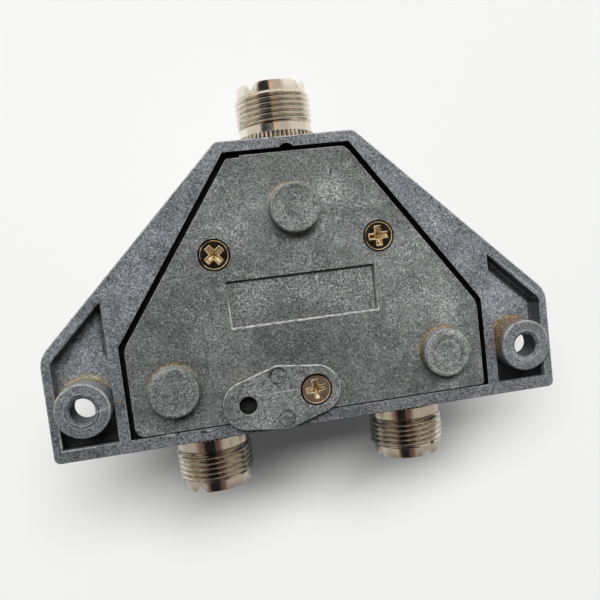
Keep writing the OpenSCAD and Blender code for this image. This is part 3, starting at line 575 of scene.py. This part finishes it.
def round_corner(bm, x, y, r_from, r_to):
    """Widens the rounding of a square corner; x, y is the corner itself."""
    side_x, side_y = math.copysign(1, x), math.copysign(1, y)
    for v in bm.verts:
        dx, dy = (x - v.co.x / MM) * side_x, (y - v.co.y / MM) * side_y
        if -0.01 < dx < r_from + 0.01 and -0.01 < dy < r_from + 0.01:
            turn = math.atan2(r_from - dy, r_from - dx)
            v.co.x = (x - side_x * (r_to - r_to * math.cos(turn))) * MM
            v.co.y = (y - side_y * (r_to - r_to * math.sin(turn))) * MM


def paint_face(face, layer, edge_wear_and_light=0.0, dark=0.0):
    for loop in face.loops:
        loop[layer] = (edge_wear_and_light, dark, 0, 1)


def softened(node, name, look, width, wanted, deep, extra=None, corners=()):
    """A copy of a CAD node whose edges are rounded as a casting's are; the node itself is hidden.

    wanted gives an edge's share of the width and how worn it is, which also sets its painted light and
    shade, or None where it stays sharp, deep says how much painted shade a face takes in seams, holes
    and recesses, extra adds small flaws to the mesh, and corners holds corners to round further.
    """
    me = NODES[node].data.copy()
    me.name = name
    obj = bpy.data.objects.new(name, me)
    bm = bmesh.new()
    bm.from_mesh(me)
    bmesh.ops.remove_doubles(bm, verts=bm.verts, dist=MERGE * MM)
    bmesh.ops.dissolve_limit(bm, angle_limit=FLAT_ANGLE, verts=bm.verts, edges=bm.edges)
    for place in corners:
        round_corner(bm, *place)
    finish = bm.loops.layers.float_color.new("finish")
    for face in bm.faces:
        # Green: painted shade in seams, holes and recesses.
        paint_face(face, finish, dark=float(deep(face.calc_center_median() / MM, face.normal)))
    layer, groups = bevel_groups(bm, wanted)
    for g in range(1, groups + 1):
        edges = [e for e in bm.edges if e[layer] == g]
        if not edges:
            continue
        share, edge_wear_and_light = wanted((edges[0].verts[0].co + edges[0].verts[1].co) / (2 * MM))
        done = bmesh.ops.bevel(bm, geom=edges, offset=width * share * MM, offset_type="OFFSET",
                               segments=BEVEL_SEGMENTS, profile=0.5, affect="EDGES", clamp_overlap=True)
        for face in done["faces"]:
            for e in face.edges:
                e[layer] = 0
            paint_face(face, finish, edge_wear_and_light)
    bmesh.ops.recalc_face_normals(bm, faces=bm.faces)
    if extra is not None:
        extra(bm, finish)
    bm.to_mesh(me)
    bm.free()
    finish_mesh(obj, look, 40)
    flatten_faces(obj)
    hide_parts(node)
    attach(obj, "case")


def ear_distance(p):
    return math.hypot(abs(p.x) - EAR_LEFT[0], p.y - EAR_LEFT[1])


def case_edges(p):
    """The rim, the pockets and the ear bosses; the cavity and the port bores stay as they are."""
    if p.z > LEDGE_Z - 0.2 and in_opening(p.x, p.y):
        return None
    if abs(p.y) > PORT_EDGE_Y and p.z > PORT_EDGE_Z:
        return None
    if ear_distance(p) < EAR_EDGE:
        return (0.5, 0.14) if p.z < FACE_Z else None
    if p.z < FACE_Z:
        return 1.6, 0.4
    if in_opening(p.x, p.y):
        return 0.2, 0.5
    return 1.0, 0.45


def plate_edges(p):
    if close_to(p, HEAD_EDGE, SCREW_LEFT, SCREW_RIGHT, SCREW_LOW, EARTH_HOLE) or p.z > FOOT_H + 1.5:
        return None
    if p.z < FACE_Z:
        return 1.7, 0.25
    if abs(p.x) < PANEL_X and PANEL_LOW < p.y < PANEL_HIGH:
        return 0.6, 0.95
    return 0.3, 0.8


def earth_edges(p):
    if close_to(p, MARK_EDGE, *EARTH_MARKS):
        return 0.3, 0.12
    if close_to(p, HEAD_EDGE, SCREW_LOW) or p.z > FOOT_H - 0.1:
        return None
    return (0.5, 0.4) if close_to(p, EARTH_HOLE_EDGE, EARTH_HOLE) else (1.0, 0.75)


def is_wall(normal):
    return abs(normal.z) < 0.5


def case_recess_shade(p, normal):
    """Painted shade on the ear holes' walls, the pockets' upper walls and the walls behind the gap of
    the back plate.
    """
    wall = is_wall(normal)
    if wall and ear_distance(p) < EAR_WALL:
        return 0.8
    upper = wall and normal.y < -0.3
    if upper and abs(p.x) > POCKET_X and p.y > POCKET_Y and FOOT_H < p.z < POCKET_Z:
        return 0.75
    return FOOT_H + 0.5 < p.z < INNER_Z + 0.1 and in_opening(p.x, p.y)


# Painted shade on the walls of the cover screws' holes, of the earth hole and of the plate's outer sides.
def plate_recess_shade(p, normal):
    if p.z > FOOT_H + SKIN and close_to(p, HEAD_WALL, SCREW_LEFT, SCREW_RIGHT):
        return 0.95
    if p.z > FOOT_H + SKIN and close_to(p, PLATE_HOLE_WALL, EARTH_HOLE):
        return 0.9
    return is_wall(normal) and p.z > FOOT_H + 0.6 and abs(p.x) + abs(p.y) > OUTER_WALL


# Painted shade on the walls of the low screw's hole and of the earth hole.
def earth_recess_shade(p, normal):
    if p.z > FOOT_H - EARTH_T + SKIN and close_to(p, HEAD_WALL, SCREW_LOW):
        return 0.95
    return 0.85 if is_wall(normal) and close_to(p, EARTH_HOLE_WALL, EARTH_HOLE) else 0.0


GATE_AT, GATE_L, GATE_W, GATE_H = (27.95, -26.15, 2.95), 2.0, 0.34, 0.5
GATE_SLICES, GATE_SIDES = 9, 6
GATE_RAGGED, GATE_JITTER = (-0.06, 0.1), (-0.05, 0.05)


def gate_stub(bm, finish):
    """The stub of a broken casting gate on the rim's lower inner edge, a low ragged ridge."""
    rng = random.Random(4)
    x0, y0, z0 = GATE_AT
    slices = []
    for i in range(GATE_SLICES):
        x = x0 + GATE_L * i / (GATE_SLICES - 1)
        h = GATE_H * math.sin(math.pi * (i + 0.6) / (GATE_SLICES + 0.2)) + rng.uniform(*GATE_RAGGED)
        w = GATE_W + rng.uniform(*GATE_RAGGED)
        ring = []
        for k in range(GATE_SIDES):
            a = 2 * math.pi * k / GATE_SIDES
            at = Vector((x + rng.uniform(*GATE_JITTER), y0 + w * math.cos(a), z0 - h * math.sin(a)))
            ring.append(bm.verts.new(at * MM))
        slices.append(ring)
    new = [bm.faces.new(slices[0]), bm.faces.new(list(reversed(slices[-1])))]
    for a, b in zip(slices, slices[1:]):
        for k in range(GATE_SIDES):
            after = (k + 1) % GATE_SIDES
            new.append(bm.faces.new((a[k], b[k], b[after], a[after])))
    bmesh.ops.recalc_face_normals(bm, faces=new)
    for face in new:
        paint_face(face, finish, 0.7)


# --- Connector shells ------------------------------------------------------
# Along the shell, z runs from the wall of the case to the mouth
THREAD_R, THREAD_ROOT, PITCH = 7.9375, 7.28, 25.4 / 24
KNURL_L, COLLAR_L, THREAD_L, TIP_L = 1.9, 1.9, 6.35, 2.1
COLLAR_END = KNURL_L + COLLAR_L
THREAD_END = COLLAR_END + THREAD_L
PORT_L = THREAD_END + TIP_L
COLLAR_R, TIP_R, MOUTH_R, SHANK_R, NECK_R = 7.69, 7.2, 6.3, 7.38, 4.65
SHANK_END, MOUTH_END = -3.0, 1.0
THREAD_START = COLLAR_END + 0.25
NOTCH_W, NOTCH_D, NOTCH_STEPS, GAP_STEPS = 2.6, 1.5, 4, 30
# Phase in the pitch and depth below the crest
THREAD_SHAPE = [(0.0, 0.10), (0.05, 0.025), (0.10, 0.0), (0.14, 0.0), (0.19, 0.025), (0.24, 0.10),
                (0.53, 0.63), (0.57, 0.657), (0.67, 0.657), (0.71, 0.63)]
# Largest radius at the thread's two ends, and how fast it grows from there
RUN_IN, RUN_OUT = (THREAD_ROOT + 0.1, 2.0), (TIP_R + 0.12, 1.1)
KNURL_TEETH, KNURL_EASE, KNURL_CORE_R, KNURL_FOOT = 53, 0.12, 7.0, -0.2
# Phase in the tooth and radius
KNURL_SHAPE = [(0.0, 7.42), (0.2, 7.62), (0.38, 7.9), (0.5, 7.94), (0.62, 7.9), (0.8, 7.62)]
# Radius below which dirt and painted shade begin, and the depth over which they grow
KNURL_GRIME_AND_SHADE, THREAD_GRIME_AND_SHADE = (7.88, 0.2), (THREAD_R - 0.34, 0.3)
# Place, tilt, angle of the notches, visible length of the knurl and share of dirt and painted shade
PORTS = {
    "common": (Vector((0, CASE_H / 2, PORT_Z)), -90, 49, 2.1, 0.7),
    "1": (Vector((-PORT_X, -CASE_H / 2, PORT_Z)), 90, 73, 1.55, 1.0),
    "2": (Vector((PORT_X, -CASE_H / 2, PORT_Z)), 90, 30, 1.55, 0.9),
}


def ring_quads(a, b, count):
    """Quads between two rings of count vertices, which start at a and b."""
    return [(a + i, a + (i + 1) % count, b + (i + 1) % count, b + i) for i in range(count)]


def notch_columns(r):
    """(angle, depth share) at radius r, with exact columns at the four notches' edges and roots."""
    out = []
    for k in range(4):
        centre = math.radians(45 + 90 * k)
        half = NOTCH_W / 2
        for j in range(-NOTCH_STEPS, NOTCH_STEPS + 1):
            out.append((centre + math.asin(half * j / NOTCH_STEPS / r), 1 - abs(j) / NOTCH_STEPS))
        edge = math.asin(half / r)
        gap = math.radians(90) - 2 * edge
        for j in range(1, GAP_STEPS):
            out.append((centre + edge + gap * j / GAP_STEPS, 0.0))
    return out


def ring_row(r, z, lift=0.0, columns_at=None):
    """One ring of (radius, angle, z); lift moves it with the notched upper edge."""
    return [(r, a, z - lift * NOTCH_D * n) for a, n in notch_columns(columns_at or r)]


def thread_depth(phase):
    points = THREAD_SHAPE + [(1.0, THREAD_SHAPE[0][1])]
    for (a, da), (b, db) in zip(points, points[1:]):
        if a <= phase <= b:
            return da + (db - da) * (phase - a) / (b - a)
    return 0.0


def helix_rows():
    """Rows that climb by a pitch in each turn, cut off level at both ends of the thread."""
    rows = []
    for turn in range(-1, int(THREAD_L / PITCH) + 3):
        for phase, _ in THREAD_SHAPE:
            row = []
            for a, _ in notch_columns(TIP_R):
                z = THREAD_START + (turn + phase + a / (2 * math.pi)) * PITCH
                z = min(max(z, THREAD_START), THREAD_END)
                at = ((z - THREAD_START) / PITCH - a / (2 * math.pi)) % 1.0
                r = min(THREAD_R - thread_depth(at), RUN_OUT[0] + (THREAD_END - z) * RUN_OUT[1],
                        RUN_IN[0] + (z - THREAD_START) * RUN_IN[1])
                row.append((max(r, THREAD_ROOT), a, z))
            rows.append(row)
    return rows


def knurl_mesh(knurl_l):
    """Straight teeth at the wall, a closed ring of their own."""
    def row(z, r=None, ease=0.0):
        out = []
        for t in range(KNURL_TEETH):
            for share, tooth_r in KNURL_SHAPE:
                a = 2 * math.pi * (t + share) / KNURL_TEETH
                at = tooth_r - ease if r is None else r
                out.append((at * math.cos(a), at * math.sin(a), z))
        return out

    rows = [row(KNURL_FOOT, KNURL_CORE_R), row(KNURL_FOOT), row(knurl_l - KNURL_EASE),
            row(knurl_l, ease=KNURL_EASE), row(knurl_l, KNURL_CORE_R)]
    n = len(rows[0])
    faces = [f for k in range(len(rows)) for f in ring_quads(k * n, (k + 1) % len(rows) * n, n)]
    return [v for r in rows for v in r], faces


def shell_mesh(knurl_l):
    rows = [ring_row(r, z, columns_at=TIP_R) for r, z in (
        (SHANK_R, SHANK_END), (SHANK_R, knurl_l - 0.1), (COLLAR_R - 0.14, knurl_l - 0.1),
        (COLLAR_R, knurl_l + 0.05), (COLLAR_R, COLLAR_END - 0.12), (COLLAR_R - 0.08, COLLAR_END - 0.04),
        (THREAD_ROOT + 0.02, COLLAR_END + 0.06), (THREAD_ROOT, THREAD_START))]
    helix_from = len(rows)
    rows += helix_rows()
    helix_to = len(rows)
    rows += [ring_row(r, z, lift) for r, z, lift in (
        (THREAD_ROOT, THREAD_END, 0.0), (TIP_R, THREAD_END + 0.08, 0.0), (TIP_R, THREAD_END + 0.45, 0.0),
        (TIP_R, PORT_L - 0.14, 1.0), (TIP_R - 0.04, PORT_L - 0.04, 1.0), (TIP_R - 0.14, PORT_L, 1.0),
        (MOUTH_R + 0.22, PORT_L, 1.0), (MOUTH_R + 0.06, PORT_L - 0.06, 1.0), (MOUTH_R, PORT_L - 0.2, 1.0),
        (MOUTH_R, PORT_L - 2.2, 0.0))]
    rows += [ring_row(r, z, columns_at=TIP_R) for r, z in (
        (MOUTH_R, MOUTH_END), (NECK_R, MOUTH_END), (NECK_R, SHANK_END))]
    n = len(rows[0])
    verts = [(r * math.cos(a), r * math.sin(a), z) for row in rows for r, a, z in row]
    faces = []
    for i in range(len(rows) - 1):
        helix = helix_from <= i < helix_to - 1
        faces += [(i * n + c, i * n + c + 1, (i + 1) * n + c + 1, (i + 1) * n + c) for c in range(n - 1)]
        # The last column of the helix meets the first one a turn further up
        on = i + len(THREAD_SHAPE) if helix else i
        if on + 1 < helix_to or not helix:
            faces.append((i * n + n - 1, on * n, (on + 1) * n, (i + 1) * n + n - 1))
    faces += ring_quads((len(rows) - 1) * n, 0, n)
    knurl_verts, knurl_faces = knurl_mesh(knurl_l)
    faces += [tuple(len(verts) + i for i in f) for f in knurl_faces]
    return verts + knurl_verts, faces


def valley(x, y, z, knurl_l):
    """How deep a point of the shell lies in the thread, or between the teeth of the knurl."""
    r = math.hypot(x, y)
    if z < knurl_l + 0.01:
        top, depth = KNURL_GRIME_AND_SHADE
    elif COLLAR_END < z < THREAD_END + 0.02 and r > TIP_R:
        top, depth = THREAD_GRIME_AND_SHADE
    else:
        return 0.0
    return min(max((top - r) / depth, 0.0), 1.0)


def build_shells():
    for port, (at, tilt, notch, knurl_l, dirt) in PORTS.items():
        name = "threaded_shell_" + port
        verts, faces = shell_mesh(knurl_l)
        me = bpy.data.meshes.new(name)
        me.from_pydata([tuple(Vector(v) * MM) for v in verts], [], faces)
        finish = me.color_attributes.new("finish", "FLOAT_COLOR", "POINT")
        # Blue: dirt and painted shade in the thread's valleys and between the knurl's teeth.
        finish.data.foreach_set("color", [c for v in verts for c in (0, 0, dirt * valley(*v, knurl_l), 1)])
        bm = bmesh.new()
        bm.from_mesh(me)
        bmesh.ops.remove_doubles(bm, verts=bm.verts, dist=SHELL_MERGE * MM)
        bmesh.ops.dissolve_degenerate(bm, edges=bm.edges, dist=SHELL_MERGE * MM)
        bmesh.ops.recalc_face_normals(bm, faces=bm.faces)
        bm.to_mesh(me)
        bm.free()
        me.transform(Matrix.Translation(at * MM) @ Matrix.Rotation(math.radians(tilt), 4, "X")
                     @ Matrix.Rotation(math.radians(notch - 45), 4, "Z"))
        shell = bpy.data.objects.new(name, me)
        finish_mesh(shell, nickel, 32)
        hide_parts("shell_" + port)
        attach(shell, "case")


# --- Screws ------------------------------------------------------------------
SCREW_L, SCREW_R, EDGE_R, NECK_Z = 10.0, 1.5, 2.9, 1.8
HEAD_SIDES = 64
HEAD_DROP = 0.1  # depth of the heads below their surface
# The head's raised rim: distance from its edge, and height
RIM = [(0.34, 0.0), (0.26, 0.0), (0.18, -0.07), (0.1, -0.05), (0.04, 0.04), (0.0, 0.2), (0.0, 0.5)]
# One turn of the thread: depth and rise
TURN = [(0.0, 0.1), (0.28, 0.25), (0.0, 0.25)]
THREAD_STOP, POINT_L = 0.6, 0.5  # no turn starts within the first, or lies within the second, of the end
POINT = [(0.1, 0.2), (0.5, 0.0)]  # depth and distance from the end
# The cross recess: reach of its wings, half their width, rounding between them, and height
CROSS = [(2.04, 0.72, 0.22, 0.0), (2.00, 0.68, 0.24, 0.0), (1.91, 0.59, 0.28, -0.07),
         (1.82, 0.50, 0.32, -0.05), (1.66, 0.36, 0.32, 0.09), (1.38, 0.24, 0.26, 0.45),
         (0.75, 0.2, 0.2, 0.8)]
CROSS_TIP, CROSS_BULGE, CROSS_STEPS = 1.3, 0.06, 3


def cross_outline(reach, half, fillet, turn):
    """Outline of a four-winged recess with rounded inner corners, counter-clockwise."""
    quarter = [(reach, -half), (reach + CROSS_BULGE, 0.0), (reach, half)]
    c = half + fillet
    for i in range(CROSS_STEPS + 1):
        a = math.radians(-90 - 90 * i / CROSS_STEPS)
        quarter.append((c + fillet * math.cos(a), c + fillet * math.sin(a)))
    out = []
    for k in range(4):
        ca, sa = math.cos(math.radians(turn + 90 * k)), math.sin(math.radians(turn + 90 * k))
        out += [(x * ca - y * sa, x * sa + y * ca) for x, y in quarter]
    return out


def circle(r):
    steps = [2 * math.pi * i / HEAD_SIDES for i in range(HEAD_SIDES)]
    return [(r * math.cos(a), r * math.sin(a)) for a in steps]


def screw_bmesh(turn):
    """Countersunk screw with a cross recess, its head towards -Z at z = 0."""
    bm = bmesh.new()

    def add_ring(points, z):
        return [bm.verts.new(Vector((x, y, z)) * MM) for x, y in points]

    def join(a, b):
        for i in range(len(a)):
            after = (i + 1) % len(a)
            bm.faces.new((a[i], a[after], b[after], b[i]))

    loops = [add_ring(circle(EDGE_R - inset), z) for inset, z in RIM] + [add_ring(circle(SCREW_R), NECK_Z)]
    z = NECK_Z
    while z < SCREW_L - THREAD_STOP:
        for depth, rise in TURN:
            z += rise
            loops.append(add_ring(circle(SCREW_R - depth), min(z, SCREW_L - POINT_L)))
    loops += [add_ring(circle(SCREW_R - depth), SCREW_L - left) for depth, left in POINT]
    for a, b in zip(loops, loops[1:]):
        join(a, b)
    bm.faces.new(tuple(reversed(loops[-1])))
    cross = [add_ring(cross_outline(*shape, turn), z) for *shape, z in CROSS]
    for a, b in zip(cross, cross[1:]):
        join(b, a)
    tip = bm.verts.new((0, 0, CROSS_TIP * MM))
    for i in range(len(cross[-1])):
        bm.faces.new((cross[-1][i], cross[-1][(i + 1) % len(cross[-1])], tip))
    edges = [bm.edges.get((loop[i], loop[(i + 1) % len(loop)])) for loop in (loops[0], cross[0])
             for i in range(len(loop))]
    bmesh.ops.triangle_fill(bm, edges=edges, use_beauty=True, use_dissolve=False)
    bmesh.ops.recalc_face_normals(bm, faces=bm.faces)
    return bm


def screw_object(name, look, heads):
    """The screws of one node: heads holds (x, y, z of the surface, turn of the recess)."""
    together = bmesh.new()
    for x, y, z, turn in heads:
        bm = screw_bmesh(turn)
        bmesh.ops.translate(bm, verts=bm.verts, vec=Vector((x, y, z + HEAD_DROP)) * MM)
        part = bpy.data.meshes.new("part")
        bm.to_mesh(part)
        bm.free()
        together.from_mesh(part)
        bpy.data.meshes.remove(part)
    me = bpy.data.meshes.new(name)
    together.to_mesh(me)
    together.free()
    obj = bpy.data.objects.new(name, me)
    finish_mesh(obj, look, 35)
    flatten_faces(obj)
    return obj


def build_screws():
    pair = screw_object("cross_screws", zinc, [(*SCREW_RIGHT, FOOT_H, -2), (*SCREW_LEFT, FOOT_H, 53)])
    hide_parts("cover_screws")
    third = screw_object("cross_screw_low", worn_zinc, [(*SCREW_LOW, FOOT_H - EARTH_T, -6)])
    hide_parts("earth_screw")
    for o in (pair, third):
        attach(o, "case")


softened("housing", "case_casting", case_mat, CASE_ROUNDING, case_edges, case_recess_shade, gate_stub)
softened("back_plate", "plate_casting", plate_mat, PLATE_ROUNDING, plate_edges, plate_recess_shade,
         corners=[(*PLATE_CORNER, CORNER_FROM, CORNER_TO)])
softened("earth_plate", "earth_casting", earth_mat, PLATE_ROUNDING, earth_edges, earth_recess_shade)
build_shells()
build_screws()


# --- Stage, in metres ------------------------------------------------------------
FLOOR_SIZE = 6.0
REFLECTED_NEAR, REFLECTED_FAR = 0.07, 0.3
FADE_NEAR, FADE_FAR = 0.35, 1.4
PHOTOGRAPHER_Y, PHOTOGRAPHER_SHADE = (0.03, -0.06), 0.52
CARD_Z = -0.118
SKY_LOW, SKY_MIDDLE, SKY_HIGH = 0.18, 0.36, 0.85
DIM_FROM, DIM_TO = -0.3, 0.6


def flat_mesh(name, corners):
    """A flat object with an empty material of its own, and the material's graph."""
    me = bpy.data.meshes.new(name)
    me.from_pydata(corners, [], [(0, 1, 2, 3)])
    material = bpy.data.materials.new(name)
    material.use_nodes = True
    material.node_tree.nodes.clear()
    me.materials.append(material)
    obj = bpy.data.objects.new(name, me)
    SCENE.collection.objects.link(obj)
    obj.visible_shadow = False
    obj.visible_diffuse = False
    obj.visible_transmission = False
    return obj, Graph(material.node_tree)


def floor(name, z, up, tone, mirrored):
    """A pale matt floor that shows only from its front, and fades out far from the object.

    mirrored says whether reflections show it. They show only its part near the object, and darker
    on the side of -Y, where the photographer stands.
    """
    h = FLOOR_SIZE / 2
    corners = [(-h, -h, z), (h, -h, z), (h, h, z), (-h, h, z)]
    obj, g = flat_mesh(name, corners if up else corners[::-1])
    obj.visible_glossy = mirrored
    geometry = g.node("ShaderNodeNewGeometry")
    place = geometry.outputs["Position"]
    glossy = g.node("ShaderNodeLightPath").outputs["Is Glossy Ray"]
    dimmed = g.times(g.span(g.part(place, "Y"), *PHOTOGRAPHER_Y, smooth=False), glossy)
    diffuse = g.node("ShaderNodeBsdfDiffuse")
    g.put(diffuse.inputs["Color"], g.mix(dimmed, tone, tuple(PHOTOGRAPHER_SHADE * c for c in tone)))
    away = g.vec("LENGTH", place)
    hidden = g.math("MAXIMUM", g.times(g.span(away, REFLECTED_NEAR, REFLECTED_FAR), glossy),
                    g.span(away, FADE_NEAR, FADE_FAR))
    hidden = g.math("MAXIMUM", hidden, geometry.outputs["Backfacing"])
    g.surface(hidden, diffuse.outputs[0], g.node("ShaderNodeBsdfTransparent").outputs[0])


def card(name, x0, x1, y0, y1, tone, soft, behind=0.0):
    """A card beside the camera that shows only in reflections, as the photographer does.

    Its sides are in mm. soft holds the widths over which its left, right, low and high sides fade,
    and behind its distance behind the foremost cards.
    """
    z = CARD_Z - behind * MM
    corners = [(x * MM, y * MM, z) for x, y in ((x0, y0), (x1, y0), (x1, y1), (x0, y1))]
    obj, g = flat_mesh(name, corners)
    obj.visible_camera = False
    place = g.node("ShaderNodeNewGeometry").outputs["Position"]
    left, right, low, high = soft
    fades = [g.span(g.part(place, axis), edge * MM, (edge + width) * MM)
             for axis, edge, width in (("X", x0, left), ("X", x1, -right), ("Y", y0, low), ("Y", y1, -high))
             if width]
    glow = g.node("ShaderNodeEmission")
    g.put(glow.inputs["Color"], tone)
    g.surface(g.times(*fades), g.node("ShaderNodeBsdfTransparent").outputs[0], glow.outputs[0])


def lamp(name, at, to, size, power, tone=(1, 1, 1)):
    light = bpy.data.lights.new(name, "AREA")
    light.shape = "ELLIPSE"
    light.size, light.size_y = size
    light.energy = power
    light.color = tone
    obj = bpy.data.objects.new(name, light)
    way = Vector(to) - Vector(at)
    obj.matrix_world = Matrix.Translation(at) @ way.to_track_quat("-Z", "Y").to_matrix().to_4x4()
    obj.visible_camera = False
    obj.visible_glossy = False
    SCENE.collection.objects.link(obj)


def sky(dim_low, dim_high, low, middle, high, seen):
    """Dim light on the object, more of it from +Y, and a bright room in reflections and behind it."""
    world = bpy.data.worlds.new("world")
    SCENE.world = world
    world.use_nodes = True
    g = Graph(world.node_tree)
    path = g.node("ShaderNodeLightPath")
    way_y = g.part(g.node("ShaderNodeTexCoord").outputs["Generated"], "Y")
    ramp = g.node("ShaderNodeValToRGB")
    ramp.color_ramp.interpolation = "EASE"
    ramp.color_ramp.elements[0].position = SKY_LOW
    ramp.color_ramp.elements[0].color = (*low, 1)
    ramp.color_ramp.elements[1].position = SKY_HIGH
    ramp.color_ramp.elements[1].color = (*high, 1)
    ramp.color_ramp.elements.new(SKY_MIDDLE).color = (*middle, 1)
    g.put(ramp.inputs[0], g.span(way_y, -1, 1, smooth=False))
    light = g.mix(g.span(way_y, DIM_FROM, DIM_TO, smooth=False), dim_low, dim_high)
    light = g.mix(path.outputs["Is Glossy Ray"], light, ramp.outputs["Color"])
    for ray in ("Is Transmission Ray", "Is Camera Ray"):
        light = g.mix(path.outputs[ray], light, seen)
    back = world.node_tree.nodes["Background"]
    g.put(back.inputs["Color"], light)
    back.inputs["Strength"].default_value = 1.0


floor("floor", -0.0002, True, (0.86, 0.86, 0.855), False)
floor("photo_table", 0.0464, False, (0.88, 0.88, 0.875), True)
card("card_phone", 5, 97, -228, 42, (0.012, 0.012, 0.014), (7, 7, 20, 10))
card("card_left", 60, 330, -108, 12, (0.15, 0.088, 0.07), (0, 230, 16, 30), 1)
card("card_flank", 60, 138, -228, -80, (0.13, 0.07, 0.056), (0, 22, 20, 14), 2)
card("card_right", -62, 40, -228, -54, (0.12, 0.062, 0.05), (48, 0, 20, 8), 1)
card("card_low", -62, 40, -66, -14, (0.15, 0.13, 0.125), (20, 0, 0, 10), 2)
card("card_screw", -84, 40, -20, 46, (0.014, 0.014, 0.013), (14, 0, 0, 14), 3)
card("card_top", 24, 205, 48, 190, (0.028, 0.027, 0.028), (2, 80, 12, 20))
card("card_line", 5, 20, 48, 190, (0.95, 0.46, 0.24), (4, 4, 10, 20))
card("card_grey", -130, 30, 48, 190, (0.52, 0.47, 0.41), (70, 0, 10, 20), 1)
sky((0.027, 0.027, 0.0275), (0.262, 0.262, 0.264), (0.25, 0.23, 0.21), (0.41, 0.375, 0.33), (1.0, 0.99, 0.96),
    (0.86, 0.86, 0.855))
lamp("photo_key", (0.442, 2.429, -4.023), (0, 0, 0.02), (5.2, 1.62), 274, (1.0, 0.998, 0.99))
lamp("top_key", (0.7, -0.9, 2.2), (0, 0, 0.02), (1.4, 1.0), 60)
